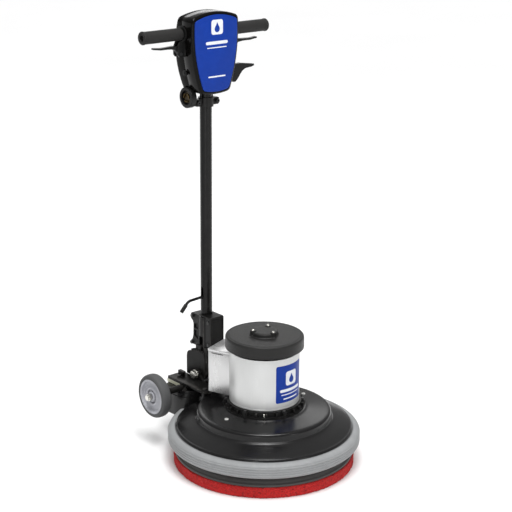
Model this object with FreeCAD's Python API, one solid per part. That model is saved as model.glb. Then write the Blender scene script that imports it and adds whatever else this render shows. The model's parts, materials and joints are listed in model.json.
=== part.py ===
"""Rotary floor machine: a planetary-drive scrubbing and polishing machine.

Frame: origin on the floor at the drive axis, +Z up, +Y forward (from the handle towards the
motor), +X to the operator's right. The machine stands on its pad with the handle upright.
"""
import FreeCAD, Part
import math
import os

V = FreeCAD.Vector
X, Y, Z = V(1, 0, 0), V(0, 1, 0), V(0, 0, 1)

# driving dimensions, in millimetres
PAD_D = 508.0
PAD_H = 31.0
DRIVER_TOP = 58.0
BUMPER_BOTTOM = 62.0
RIM_Z = 104.0
RIM_R = 249.5
BUMPER_R = 270.0
BUMPER_GAP = 25.0
DECK_WALL = 6.0
STEP_R = 188.0
CROWN_Z = 167.0
NECK_X = 27.0        # centre of the neck's round corner
NECK_Y = -285.7
NECK_R = 73.0
NECK_TOP = 150.0
BEAD = 2.0           # how far the neck's beads stand out
SHELL_R = 97.6
SHELL_WALL = 2.5
SHELL_BOTTOM = 184.0
CAP_BOTTOM = 339.0
CAP_TOP = 374.0
CAP_R = 109.5
CAP_EAR_R = 33.0     # radial place of the cap's screw ears
CAP_EAR_TURN = 94.0
CAP_EAR_H = 14.0
BELL_EAR_R = 106.5   # radial place of the end bell's bolts
BELL_EAR_TURN = 20.0
CORE_Z = 210.0       # bottom of the rotor and stator stacks
CORE_H = 90.0
AIR_GAP_R = 54.5
BOX_TURN = 20.0      # how far round the motor the capacitor box sits
BOX_W = 44.0
BOX_REAR = -157.0
BOX_BOTTOM = 188.0
BOX_TOP = 316.0

GEAR_MODULE = 1.25
SUN_TEETH = 12
PLANET_TEETH = 48
RING_TEETH = 108
PRESSURE_ANGLE = math.radians(25)
BACKLASH = 0.17
GEAR_Z = 130.0
GEAR_H = 20.0
CARRIER_R = GEAR_MODULE * (SUN_TEETH + PLANET_TEETH) / 2
PLANETS = 3

HANDLE_Y = -257.0
PIVOT_Y = -262.0
PIVOT_Z = 184.0
PIVOT_R = 6.0
AXLE_Y = -269.0
AXLE_Z = 152.0
AXLE_R = 6.3
AXLE_SPACER_R = 10.0
WHEEL_R = 63.5
WHEEL_W = 32.0
WHEEL_X = 180.0
YOKE_TOP = 142.0
YOKE_T = 6.0
YOKE_X = 84.0
YOKE_NOSE = 46.0     # half width of the yoke's narrow front
YOKE_WALL = 4.0
YOKE_REAR = -334.0
YOKE_FRONT = -246.0  # front edge of the yoke's side walls
FLANGE_Z = 169.0
SECTOR_R = 75.0
SECTOR_X = 22.0
SECTOR_T = 6.0
EAR_X = SECTOR_X + SECTOR_T
EAR_T = 8.0
KNUCKLE_X = SECTOR_X - 1.5
PLUG_X = 142.0
PLUG_Y = 7.5
PLUG_Z = 159.0
PLUG_R = 5.4
FLANGE_BOLT_X = 70.0
FLANGE_BOLT_Y = -178.0

TUBE_R = 16.7
TUBE_WALL = 3.0
TUBE_BOTTOM = 298.0
TUBE_TOP = 1163.0
SOCKET_R = 22.0
SOCKET_TOP = 358.0
SOCKET_X = 16.0
ROD_R = 4.0
ROD_EXIT_Z = 418.0
ARM_CORNER = V(65.9, 0, -3.4)   # the arm's corner and end, from where it leaves the tube's axis
ARM_END = V(90.7, 0, -30.0)
ARM_BEND_R = 22.0
PAWL_Z = PIVOT_Z + SECTOR_R + 1.3

BAR_Z = 1178.0
BAR_R = 12.5
GRIP_R = 17.0
BAR_END = 208.0
GRIP_END = 216.0
HEAD_FRONT = -211.0
HEAD_REAR = -300.0
HEAD_WALL = 3.0
HEAD_EDGE = 7.5      # how far the casing stands out round its front panel
PANEL_FACE = -209.0
INLET = V(0, -266, 1001)
INLET_FACE = 63.0
INLET_R = 29.0
LEVER_PIVOT = V(92, HANDLE_Y, 1126)
TILT_PIVOT = V(-88, HANDLE_Y, 1046)
LEVER_PIN_R = 2.5
COLLAR_BOLT_X = 33.0
COLLAR_BOLT_Z = 985.0
BREAKER = V(0, -258.5, 1071)

RUN = 0.05      # radial clearance of a running fit
FIT = 0.3       # clearance between fixed castings


# ---- helpers ----------------------------------------------------------------------------

def cylinder(r, h, base, axis=Z):
    """Solid cylinder of radius r and height h, from base along axis."""
    return Part.makeCylinder(r, h, base, axis)


def tube(r_out, r_in, h, base, axis=Z):
    """Hollow cylinder."""
    bore = cylinder(r_in, h + 2, base - axis * 1.0, axis)
    return cylinder(r_out, h, base, axis).cut(bore)


def box(x0, x1, y0, y1, z0, z1):
    """Axis-aligned block between two corners."""
    return Part.makeBox(x1 - x0, y1 - y0, z1 - z0, V(x0, y0, z0))


def revolve(profile):
    """Full revolution of an (r, z) outline about the drive axis."""
    points = [V(r, 0, z) for r, z in profile]
    face = Part.Face(Part.makePolygon(points + points[:1]))
    return face.revolve(V(0, 0, 0), Z, 360)


def prism(points, move):
    """Extrusion of a closed polygon along a vector."""
    return Part.Face(Part.makePolygon(points + points[:1])).extrude(move)


def fuse(shapes):
    """One solid from overlapping or touching shapes."""
    return shapes[0].multiFuse(shapes[1:]).removeSplitter()


def hexagon(across_flats, h, base, axis=Z):
    """Hexagonal prism along an axis."""
    r = across_flats / math.sqrt(3)
    side = X if abs(axis.x) < 0.5 else Y
    other = axis.cross(side)
    corners = []
    for i in range(6):
        a = math.radians(60 * i)
        corners.append(base + side * (r * math.cos(a)) + other * (r * math.sin(a)))
    return prism(corners, axis * h)


def bolt(base, axis, shank_r, shank_len, across_flats, head_h):
    """Hex bolt whose head stands on base and whose shank goes into the part along -axis."""
    head = hexagon(across_flats, head_h, base, axis)
    washer = cylinder(across_flats * 0.62, 1.2, base - axis * 0.6, axis)
    return fuse([head, washer, cylinder(shank_r, shank_len, base, axis * -1)])


def polar(r, degrees, z=0.0):
    """Point at radius r and an angle from +X, at height z."""
    a = math.radians(degrees)
    return V(r * math.cos(a), r * math.sin(a), z)


def round_edges(shape, radius, keep):
    """Fillet the edges that keep(edge) picks."""
    return shape.makeFillet(radius, [e for e in shape.Edges if keep(e)])


def along(edge, axis):
    """True for a straight edge parallel to axis."""
    if edge.Curve.TypeId != "Part::GeomLine":
        return False
    return abs(abs(edge.tangentAt(edge.FirstParameter).dot(axis)) - 1) < 1e-6


def mirror_x(shape):
    """The same piece on the other side of the machine."""
    return shape.mirror(V(0, 0, 0), X)


def export(name, shape):
    """Write one node."""
    shape.exportStep("parts/%s.step" % name)


# ---- gears ------------------------------------------------------------------------------

def involute_angle(radius, base_r):
    """Polar angle travelled by an involute when it reaches a radius."""
    roll = math.acos(min(1.0, base_r / radius))
    return math.tan(roll) - roll


def gear_outline(teeth, tip_r, root_r, half_tooth, z):
    """Closed outline of straight-line facets through the flank of each tooth.

    half_tooth is the half thickness at the pitch circle in millimetres.
    """
    pitch_r = GEAR_MODULE * teeth / 2
    base_r = pitch_r * math.cos(PRESSURE_ANGLE)
    at_pitch = half_tooth / pitch_r + involute_angle(pitch_r, base_r)
    low, high = min(tip_r, root_r), max(tip_r, root_r)
    radii = [low + (high - low) * i / 3 for i in range(4)]
    half = [at_pitch - involute_angle(max(r, base_r), base_r) for r in radii]
    points = []
    for i in range(teeth):
        mid = 2 * math.pi * i / teeth
        for r, a in zip(radii, half):
            points.append(V(r * math.cos(mid - a), r * math.sin(mid - a), z))
        for r, a in reversed(list(zip(radii, half))):
            points.append(V(r * math.cos(mid + a), r * math.sin(mid + a), z))
    return points


def external_gear(teeth, z, h):
    """Spur gear about the origin with one tooth centred on +X."""
    pitch_r = GEAR_MODULE * teeth / 2
    half_tooth = math.pi * GEAR_MODULE / 4 - BACKLASH
    outline = gear_outline(teeth, pitch_r + 0.9 * GEAR_MODULE, pitch_r - 1.25 * GEAR_MODULE,
                           half_tooth, z)
    return prism(outline, Z * h)


def turned(shape, degrees, centre=V(0, 0, 0)):
    """Copy turned about a vertical axis through centre."""
    copy = shape.copy()
    copy.rotate(centre, Z, degrees)
    return copy


def planet_gear(index):
    """Planet in mesh with a sun whose tooth lies on +X and a ring whose space lies on +X."""
    angle = 360.0 / PLANETS * index
    gear = external_gear(PLANET_TEETH, GEAR_Z, GEAR_H)
    gear = gear.cut(cylinder(5 + RUN, GEAR_H + 2, V(0, 0, GEAR_Z - 1)))
    for i in range(6):
        gear = gear.cut(cylinder(6, GEAR_H + 2, polar(17, 60 * i, GEAR_Z - 1)))
    # a planet space faces the sun tooth at index 0; rolling round the sun turns it further
    own_turn = 180.0 + 180.0 / PLANET_TEETH + angle * (1 + SUN_TEETH / PLANET_TEETH)
    gear = turned(gear, own_turn)
    gear.translate(polar(CARRIER_R, angle))
    return gear


def ring_gear():
    """Fixed internal gear, with its space centred where the planet tooth at index 0 sits."""
    pitch_r = GEAR_MODULE * RING_TEETH / 2
    half_space = math.pi * GEAR_MODULE / 4 + BACKLASH
    outline = gear_outline(RING_TEETH, pitch_r + 1.25 * GEAR_MODULE, pitch_r - 0.85 * GEAR_MODULE,
                           half_space, GEAR_Z - 1)
    teeth = turned(prism(outline, Z * (GEAR_H + 2)), 180.0 / RING_TEETH)
    return cylinder(80, GEAR_H, V(0, 0, GEAR_Z)).cut(teeth)


# ---- drive: pad, driver, clutch, carrier ------------------------------------------------------

def floor_pad():
    """Round non-woven floor pad."""
    pad = cylinder(PAD_D / 2, PAD_H, V(0, 0, 0))
    return round_edges(pad, 3, lambda e: e.Length > 1000)


def pad_driver():
    """Driver block with a rounded rim and a keyed bore for the clutch."""
    r = PAD_D / 2 - 5
    outline = [(47, PAD_H), (r, PAD_H), (r + 1.5, PAD_H + 5), (r - 1, PAD_H + 11),
               (r - 6, PAD_H + 17), (r - 9, PAD_H + 21), (r - 14, DRIVER_TOP), (47, DRIVER_TOP)]
    block = revolve(outline)
    keys = [box(44, 58, -9, 9, PAD_H - 1, DRIVER_TOP + 1)]
    keys = [turned(keys[0], 120 * i) for i in range(3)]
    for key in keys:
        block = block.cut(key)
    return block


def drive_clutch():
    """Clutch plate with three lugs that key into the driver."""
    body = revolve([(15, 40), (46.5, 40), (46.5, DRIVER_TOP), (66, DRIVER_TOP), (66, 64),
                    (30, 64), (30, 70), (15, 70)])
    lug = box(44, 57.5, -8.5, 8.5, 42, DRIVER_TOP + 1)
    return fuse([body] + [turned(lug, 120 * i) for i in range(3)])


def planet_carrier():
    """Carrier disc with three planet pins and the output shaft below."""
    shaft = cylinder(15, 74, V(0, 0, 40))
    disc = cylinder(54, 12, V(0, 0, 113.5))
    pins = [cylinder(5, GEAR_H + 6, polar(CARRIER_R, 360.0 / PLANETS * i, 125))
            for i in range(PLANETS)]
    bosses = [cylinder(9, 2, polar(CARRIER_R, 360.0 / PLANETS * i, 125.5))
              for i in range(PLANETS)]
    return fuse([shaft, disc] + pins + bosses)


# ---- rotor ------------------------------------------------------------------------------------

def motor_shaft():
    """Motor shaft with the sun gear cut on its lower end and a fan seat at the top."""
    shaft = cylinder(12, 176, V(0, 0, 152))
    nose = cylinder(8, 32, V(0, 0, 328))
    sun = external_gear(SUN_TEETH, GEAR_Z - 0.5, 23)
    return fuse([shaft, nose, sun])


def rotor():
    """Squirrel-cage rotor with its end rings."""
    core = tube(AIR_GAP_R - 0.3, 12, CORE_H, V(0, 0, CORE_Z))
    ends = [tube(50, 34, 8, V(0, 0, z)) for z in (CORE_Z - 8, CORE_Z + CORE_H)]
    return fuse([core] + ends)


def cooling_fan():
    """Radial fan under the motor cap."""
    hub = tube(20, 8, 16, V(0, 0, 334))
    plate = tube(84, 19, 2.5, V(0, 0, 334))
    blades = []
    for i in range(9):
        blades.append(turned(box(19, 82, -1.2, 1.2, 336, 350), 40 * i))
    return fuse([hub, plate] + blades)


# ---- base: deck, motor and gear case ---------------------------------------------------------

def deck_outside():
    """Outer (r, z) outline of the deck, from the crown down to the bottom of the rim."""
    return [(93.5, CROWN_Z), (115, CROWN_Z), (124, 163.5), (150, 159.5), (176, 156.5),
            (183, 154.5), (187, 150), (STEP_R, 143), (189, 134), (192, 130), (198, 127.5),
            (220, 120), (240, 112), (246, 109), (RIM_R - 1, 105), (RIM_R, 102),
            (RIM_R, BUMPER_BOTTOM)]


def neck_block(inset, low, high):
    """Rear neck of the deck, with round front corners, drawn in from its sides by inset."""
    y, rear, r = NECK_Y, YOKE_REAR + YOKE_T + inset, NECK_R - inset
    lobes = [cylinder(r, high - low, V(side * NECK_X, y, low)) for side in (-1, 1)]
    middle = box(-NECK_X, NECK_X, rear, y + r, low, high)
    back = box(-NECK_X - r, NECK_X + r, rear, y, low, high)
    keep = box(-200, 200, rear, 0, low, high)
    return fuse(lobes + [middle, back]).common(keep)


def neck_beads():
    """Two raised beads round the neck's front corners."""
    beads = []
    for height in (NECK_TOP - 10, NECK_TOP - 23):
        for side in (-1, 1):
            ring = tube(NECK_R + BEAD, NECK_R - 1, 2 * BEAD, V(side * NECK_X, NECK_Y, height - BEAD))
            corner = box(NECK_X + 4, NECK_X + NECK_R + 5, NECK_Y - 3, NECK_Y + NECK_R + 5,
                         height - 5, height + 5)
            if side < 0:
                corner = mirror_x(corner)
            beads.append(ring.common(corner))
    return beads


def deck():
    """Cast deck: rim, sloped skirt, raised crown, and a hollow rear neck under the handle."""
    r, w = RIM_R, DECK_WALL
    inner = [(r - w, BUMPER_BOTTOM), (r - w, 99), (r - w - 9, 106), (218, 114),
             (190, 122.5), (183, 128), (181, 145), (174, 149), (150, 153.5), (115, 160),
             (93.5, 160)]
    shell = revolve(deck_outside() + inner)
    outside = revolve([(0, BUMPER_BOTTOM), (0, CROWN_Z)] + deck_outside())
    seat, bottom = YOKE_TOP - YOKE_T, BUMPER_BOTTOM + 4
    bridge = box(-60, 60, -250, -150, bottom, seat)
    neck = fuse([neck_block(0, bottom, NECK_TOP), bridge] + neck_beads()).cut(outside)
    inner_bridge = box(-60 + w, 60 - w, -250, -150, BUMPER_BOTTOM, seat - w)
    hollow = fuse([neck_block(w, BUMPER_BOTTOM, seat - w), inner_bridge]).cut(outside)
    rear_seat = box(-YOKE_X - FIT, YOKE_X + FIT, YOKE_REAR, YOKE_FRONT + FIT, seat, NECK_TOP + 1)
    front_seat = box(-YOKE_NOSE - FIT, YOKE_NOSE + FIT, YOKE_REAR, -150, seat, NECK_TOP + 1)
    saddle = cylinder(AXLE_SPACER_R + 0.6, 260, V(-130, AXLE_Y, AXLE_Z), X)
    neck = neck.cut(rear_seat).cut(front_seat).cut(saddle)
    boss = cylinder(9, FLANGE_Z - YOKE_T - 120, V(FLANGE_BOLT_X, FLANGE_BOLT_Y, 120)).cut(outside)
    whole = fuse([shell, neck, boss, mirror_x(boss)]).cut(hollow)
    for x, y in yoke_bolt_places():
        whole = whole.cut(cylinder(4, 40, V(x, y, 110)))
    for side in (-1, 1):
        place = V(side * FLANGE_BOLT_X, FLANGE_BOLT_Y, FLANGE_Z - YOKE_T - 25)
        whole = whole.cut(cylinder(4, 30, place))
        whole = whole.cut(cylinder(PLUG_R, 8, V(side * PLUG_X, PLUG_Y, PLUG_Z)))
    return whole


def yoke_bolt_places():
    """(x, y) of the bolts that hold the yoke's floor down."""
    return [(0, -210), (-52, -300), (52, -300)]


def bumper():
    """Ribbed vinyl bumper round the rim, open at the rear neck."""
    r_in, r_out = RIM_R, BUMPER_R
    outline = [(r_in, BUMPER_BOTTOM), (r_out - 8, BUMPER_BOTTOM), (r_out - 3, BUMPER_BOTTOM + 4)]
    ribs = 4
    pitch = (RIM_Z - BUMPER_BOTTOM - 14) / ribs
    for i in range(ribs):
        z = BUMPER_BOTTOM + 6 + pitch * i
        outline += [(r_out - 1.2, z), (r_out, z + pitch * 0.4), (r_out - 0.6, z + pitch * 0.8)]
    outline += [(r_out - 4, RIM_Z - 7), (r_out - 9, RIM_Z - 3), (r_in + 5, RIM_Z), (r_in, RIM_Z)]
    gap = math.radians(BUMPER_GAP)
    far = 400.0
    wedge = prism([V(0, 0, 50), V(-far * math.tan(gap), -far, 50), V(far * math.tan(gap), -far, 50)],
                  Z * 70)
    return revolve(outline).cut(wedge)


def gear_case():
    """Gear case hanging below the deck, with the output bearing seat."""
    wall = [(35, 76), (42, 76), (42, 100), (84, 104), (93, 110), (93, CROWN_Z), (80, CROWN_Z),
            (80, 112), (56, 108), (35, 108)]
    return revolve(wall)


def bearings():
    """Output shaft bearing and the two motor bearings."""
    places = [(15, 35, 82, 14), (12, 30, 170, 14), (12, 26, 312, 13)]
    rings = []
    for inner, outer, z, h in places:
        rings.append(tube(outer, inner + RUN, h, V(0, 0, z)))
    return Part.makeCompound(rings)


def bell_ear_place(index):
    """Foot of one of the end bell's six bolt ears."""
    return polar(BELL_EAR_R, 60 * index + BELL_EAR_TURN, CROWN_Z)


def end_bell():
    """Bolted lower end bell with short fins round its flange."""
    flange = tube(104, 30, 17, V(0, 0, CROWN_Z))
    rim = tube(113, 103, 4, V(0, 0, CROWN_Z))
    fins = []
    for i in range(24):
        fins.append(turned(box(103, 111.5, -2.2, 2.2, CROWN_Z + 3, SHELL_BOTTOM - 3), 15 * i + 7.5))
    ears = []
    for i in range(6):
        ears.append(cylinder(8, 13, bell_ear_place(i)))
    body = fuse([flange, rim] + fins + ears)
    body = body.cut(cylinder(86, 20, V(0, 0, CROWN_Z + 10)))
    seat = tube(38, 30, 8, V(0, 0, CROWN_Z + 9))
    return fuse([body, seat])


def end_bell_bolts():
    """Six hex bolts in the end bell's ears."""
    return Part.makeCompound([bolt(bell_ear_place(i) + Z * 13.6, Z, 2.5, 8, 8, 4.5)
                              for i in range(6)])


def drill_bell(bell):
    """End bell with clearance for its bolts."""
    for i in range(6):
        at = bell_ear_place(i)
        bell = bell.cut(cylinder(2.6, 20, at)).cut(cylinder(5.2, 8, at + Z * 12.95))
    return bell


def motor_shell():
    """Polished motor can with its upper bearing plate."""
    can = tube(SHELL_R, SHELL_R - SHELL_WALL, 148, V(0, 0, SHELL_BOTTOM))
    plate = tube(SHELL_R - 1, 26, 4, V(0, 0, 318))
    seat = tube(32, 26, 14, V(0, 0, 311))
    return fuse([can, plate, seat])


def stator():
    """Laminated stator with the winding ends."""
    core = tube(SHELL_R - SHELL_WALL, AIR_GAP_R + 0.3, CORE_H, V(0, 0, CORE_Z))
    low = tube(84, 60, 18, V(0, 0, CORE_Z - 18))
    high = tube(84, 60, 14, V(0, 0, CORE_Z + CORE_H))
    return fuse([core, low, high])


def cap_ear_place(index):
    """Foot of one of the cap's three screw ears."""
    return polar(CAP_EAR_R, CAP_EAR_TURN + 120 * index, CAP_TOP)


def motor_cap():
    """Moulded cap over the fan, with a hub and three screw ears on top."""
    outer = [(0, CAP_TOP), (CAP_R - 6, CAP_TOP), (CAP_R - 2, CAP_TOP - 2), (CAP_R, CAP_TOP - 6),
             (CAP_R, CAP_BOTTOM), (CAP_R - 4, CAP_BOTTOM), (CAP_R - 4, CAP_TOP - 5), (0, CAP_TOP - 5)]
    shell = revolve(outer)
    hub = cylinder(37, 12, V(0, 0, CAP_TOP))
    ears = [cylinder(8.5, CAP_EAR_H, cap_ear_place(i)) for i in range(3)]
    spokes = [turned(box(SHELL_R - 9, CAP_R - 3, -4, 4, 353, CAP_TOP - 4), 120 * i + 30)
              for i in range(3)]
    legs = [turned(box(SHELL_R - 9, SHELL_R - SHELL_WALL - 0.2, -4, 4, 322, 360), 120 * i + 30)
            for i in range(3)]
    cap = fuse([shell, hub] + ears + spokes + legs)
    for i in range(3):
        cap = cap.cut(cylinder(2.6, 60, cap_ear_place(i) - Z * 34))
    return cap


def cap_screws():
    """Three pan-head screws in the cap's ears."""
    screws = []
    for i in range(3):
        at = cap_ear_place(i) + Z * CAP_EAR_H
        slot = box(at.x - 3.4, at.x + 3.4, at.y - 0.5, at.y + 0.5, at.z + 1.2, at.z + 3)
        head = cylinder(4.6, 2.4, at).cut(slot)
        screws.append(fuse([head, cylinder(2.5, 16, at - Z * 16)]))
    return Part.makeCompound(screws)


def beside_motor(shape):
    """Turn a piece built straight behind the motor to where the capacitor box sits."""
    return turned(shape, BOX_TURN)


def capacitor_box():
    """Folded bright metal box on the motor shell, with a slotted lid and hollow inside."""
    w, rear, low, top = BOX_W, BOX_REAR, BOX_BOTTOM, BOX_TOP
    outer = box(-w, w, rear, -70, low, top - 1)
    outer = round_edges(outer, 4, lambda e: along(e, Z) and e.BoundBox.YMax < rear + 7)
    inside = box(-w + 2, w - 2, rear + 2, -60, low + 2, top - 3)
    shell = outer.cut(inside)
    for side in (-1, 1):
        slot = box(-3, 3, rear + 11, rear + 51, top - 10, top - 8)
        slot.translate(X * (side * (w - 1)))
        shell = shell.cut(slot)
    lid = box(-w - 1, w + 1, rear - 1, -70, top - 7, top)
    lid = round_edges(lid, 4, lambda e: along(e, Z) and e.BoundBox.YMax < rear + 7)
    shell = fuse([shell, lid.cut(inside)])
    return beside_motor(shell.cut(cylinder(SHELL_R, 160, V(0, 0, 180))))


def capacitors():
    """Start and run capacitors side by side in their box."""
    pair = [cylinder(19.5, 108, V(side * 20.5, BOX_REAR + 24, BOX_BOTTOM + 2)) for side in (-1, 1)]
    return beside_motor(Part.makeCompound(pair))


def deck_plugs():
    """Ring-headed plugs in the crown."""
    plug = tube(PLUG_R, 2.2, 4.4, V(PLUG_X, PLUG_Y, PLUG_Z))
    return Part.makeCompound([plug, mirror_x(plug)])


# ---- base: yoke, sectors, wheels ---------------------------------------------------------------

def yoke():
    """Wide channel astride the neck: walls, floor, rear plate, flanges and two pivot ears."""
    t, xo, xi = YOKE_T, YOKE_X, YOKE_X - YOKE_WALL
    rear, top, seat = YOKE_REAR, FLANGE_Z, YOKE_TOP - YOKE_T
    parts = [box(-xi, xi, rear, YOKE_FRONT, seat, YOKE_TOP),
             box(-YOKE_NOSE, YOKE_NOSE, rear, -200, seat, YOKE_TOP),
             box(-xo, xo, rear, rear + t, 90, YOKE_TOP)]
    for side in (-1, 1):
        wall = box(0, YOKE_WALL, rear, YOKE_FRONT, seat, top)
        wall.translate(X * (xi if side > 0 else -xo))
        gusset = prism([V(side * (xo - 1), YOKE_FRONT - 4, NECK_TOP + FIT),
                        V(side * (xo + 13), YOKE_FRONT - 4, NECK_TOP + FIT),
                        V(side * (xo - 1), YOKE_FRONT - 4, top - t + 1)], Y * 4)
        flange = prism([V(side * EAR_X, rear, top - t), V(side * EAR_X, -222, top - t),
                        V(side * 60, -165, top - t), V(side * xo, -165, top - t),
                        V(side * xo, rear, top - t)], Z * t)
        y, z = PIVOT_Y, PIVOT_Z
        ear = prism([V(side * EAR_X, rear, YOKE_TOP - 1), V(side * EAR_X, -222, YOKE_TOP - 1),
                     V(side * EAR_X, -222, top - t), V(side * EAR_X, y + 15, z),
                     V(side * EAR_X, y - 15, z), V(side * EAR_X, y - 40, top),
                     V(side * EAR_X, rear, top)], X * (side * EAR_T))
        crown = cylinder(15, EAR_T, V(side * EAR_X, y, z), X * side)
        lug = box(-5, 5, -323, -300, top - 1, top + 14)
        lug.translate(X * (side * 50))
        parts += [wall, gusset, flange, ear, crown, lug]
    whole = fuse(parts).cut(revolve([(0, 60), (0, CROWN_Z)] + deck_outside()))
    whole = whole.cut(cylinder(PIVOT_R, 90, V(-45, PIVOT_Y, PIVOT_Z), X))
    whole = whole.cut(cylinder(AXLE_R, 180, V(-90, AXLE_Y, AXLE_Z), X))
    for x, y in yoke_bolt_places() + flange_bolt_places():
        whole = whole.cut(cylinder(4, 60, V(x, y, 120)))
    return whole


def flange_bolt_places():
    """(x, y) of the bolts on the yoke's flanges."""
    front = [(side * FLANGE_BOLT_X, FLANGE_BOLT_Y) for side in (-1, 1)]
    return front + [(-64, -306), (64, -306)]


def yoke_bolts():
    """Hex bolts in the yoke's floor and flanges."""
    bolts = [bolt(V(x, y, YOKE_TOP + 0.6), Z, 4, 20, 13, 6) for x, y in yoke_bolt_places()]
    bolts += [bolt(V(x, y, FLANGE_Z + 0.6), Z, 4, 20, 11, 5) for x, y in flange_bolt_places()]
    return Part.makeCompound(bolts)


def sector_plates():
    """Toothed locking plates each side of the handle's knuckle."""
    root = SECTOR_R - 6.5
    tooth = 6.4
    first, last = 70.0, 121.0
    count = int((last - first) / tooth)
    edge = [(26, -14), (30, 20), (30, 48)]
    for i in range(count + 1):
        mid = first + tooth * i
        for r, off in ((root, -0.36), (SECTOR_R, -0.17), (SECTOR_R, 0.17), (root, 0.36)):
            a = math.radians(mid + tooth * off)
            edge.append((r * math.cos(a), r * math.sin(a)))
    edge += [(-44, 59), (-49, 55), (-53, 48), (-54, 40), (-54, -14)]
    outline = [V(SECTOR_X, PIVOT_Y + y, PIVOT_Z + z) for y, z in edge]
    plate = prism(outline, X * SECTOR_T)
    plate = plate.cut(cylinder(PIVOT_R, 60, V(0, PIVOT_Y, PIVOT_Z), X))
    return Part.makeCompound([plate, mirror_x(plate)])


def pivot_bolt():
    """Handle pivot bolt with its thick washer, and the nut on the far side."""
    face = EAR_X + EAR_T
    washer = cylinder(12.5, 3, V(face, PIVOT_Y, PIVOT_Z), X)
    screw = bolt(V(face + 3, PIVOT_Y, PIVOT_Z), X, PIVOT_R, 2 * face + 13, 22, 10)
    nut = hexagon(22, 10, V(-face, PIVOT_Y, PIVOT_Z), X * -1)
    return fuse([screw, washer, nut])


def axle_spacers():
    """Spacer tubes on the axle between the yoke and the wheels."""
    length = WHEEL_X - WHEEL_W / 2 - YOKE_X
    spacer = tube(AXLE_SPACER_R, AXLE_R, length, V(YOKE_X, AXLE_Y, AXLE_Z), X)
    return Part.makeCompound([spacer, mirror_x(spacer)])


def axle():
    """Plain axle through the yoke's walls and ears."""
    return cylinder(AXLE_R, 412, V(-206, AXLE_Y, AXLE_Z), X)


def axle_nuts():
    """Cap nuts outside the wheels."""
    start = WHEEL_X + WHEEL_W / 2 + 1
    nut = hexagon(19, 7, V(start, AXLE_Y, AXLE_Z), X)
    cap = cylinder(8, 6, V(start + 6, AXLE_Y, AXLE_Z), X)
    nut = fuse([nut, cap]).cut(cylinder(AXLE_R, 10, V(start - 0.5, AXLE_Y, AXLE_Z), X))
    return Part.makeCompound([nut, mirror_x(nut)])


def wheel_hub():
    """Moulded hub: rim ring, dished web and centre boss."""
    x0, x1 = WHEEL_X - WHEEL_W / 2, WHEEL_X + WHEEL_W / 2
    c = V(0, AXLE_Y, AXLE_Z)
    rim = tube(51, 43, WHEEL_W, c + X * x0, X)
    web = tube(44, 12, 12, c + X * (x0 + 10), X)
    boss = tube(17, AXLE_R + RUN, WHEEL_W - 1, c + X * (x0 + 0.5), X)
    return fuse([rim, web, boss])


def tyre():
    """Rubber tyre with rounded shoulders."""
    x0 = WHEEL_X - WHEEL_W / 2
    ring = cylinder(WHEEL_R, WHEEL_W, V(x0, AXLE_Y, AXLE_Z), X)
    ring = round_edges(ring, 6, lambda e: e.Length > 380)
    return ring.cut(cylinder(51, WHEEL_W + 2, V(x0 - 1, AXLE_Y, AXLE_Z), X))


# ---- handle: socket, tube, head ----------------------------------------------------------------

def socket_half():
    """Right half of the clamp socket: knuckle, barrel, and front and rear bolting flanges."""
    inner = V(0, HANDLE_Y, 0)
    right = box(0, 50, -400, 0, 0, 500)
    barrel = cylinder(SOCKET_R, SOCKET_TOP - 264, inner + Z * 264).common(right)
    knuckle = cylinder(21, KNUCKLE_X, V(0, PIVOT_Y, PIVOT_Z), X)
    neck = box(0, KNUCKLE_X, PIVOT_Y - 20, HANDLE_Y + 19, PIVOT_Z, 266)
    waist = V(0, HANDLE_Y - 4, 0)
    flange = prism([waist + V(0, dy, z) for dy, z in
                    ((-10, 262), (-52, 262), (-50, 270), (-42, 278), (-38, 290), (-37, 326),
                     (-40, 334), (-48, 340), (-50, 346), (-49, 354), (-45, SOCKET_TOP),
                     (-10, SOCKET_TOP))], X * SOCKET_X)
    pocket = prism([waist + V(SOCKET_X - 4, dy, z) for dy, z in
                    ((-16, 282), (-34, 290), (-33, 326), (-16, 334))], X * 10)
    flange = flange.cut(pocket)
    front = box(0, SOCKET_X, HANDLE_Y + 10, -216, 268, SOCKET_TOP)
    rib = box(0, SOCKET_X, HANDLE_Y - 38, HANDLE_Y - 17, 308, 314)
    half = fuse([barrel, knuckle, neck, flange, front, rib])
    half = half.cut(cylinder(TUBE_R, 200, inner + Z * TUBE_BOTTOM))
    half = half.cut(cylinder(ROD_R + 1, 50, inner + Z * (TUBE_BOTTOM - 49)))
    half = half.cut(box(-1, 30, HANDLE_Y - 8, HANDLE_Y + 8, PAWL_Z - 2, TUBE_BOTTOM))
    half = half.cut(cylinder(PIVOT_R + RUN, 60, V(-10, PIVOT_Y, PIVOT_Z), X))
    for y, z in socket_bolt_places():
        half = half.cut(cylinder(3.2, 30, V(-5, y, z), X))
    return half


def socket_bolt_places():
    """(y, z) of the bolts through the socket's flanges."""
    return [(HANDLE_Y - 44, 350), (HANDLE_Y - 46, 268), (HANDLE_Y + 31, 347), (HANDLE_Y + 31, 279)]


def socket_bolts():
    """Bolts with nuts that clamp the two socket halves."""
    bolts = []
    for y, z in socket_bolt_places():
        screw = bolt(V(SOCKET_X + 0.6, y, z), X, 3.2, 2 * SOCKET_X + 4, 10, 4.5)
        nut = hexagon(10, 4.5, V(-SOCKET_X, y, z), X * -1)
        bolts.append(fuse([screw, nut]))
    return Part.makeCompound(bolts)


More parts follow.
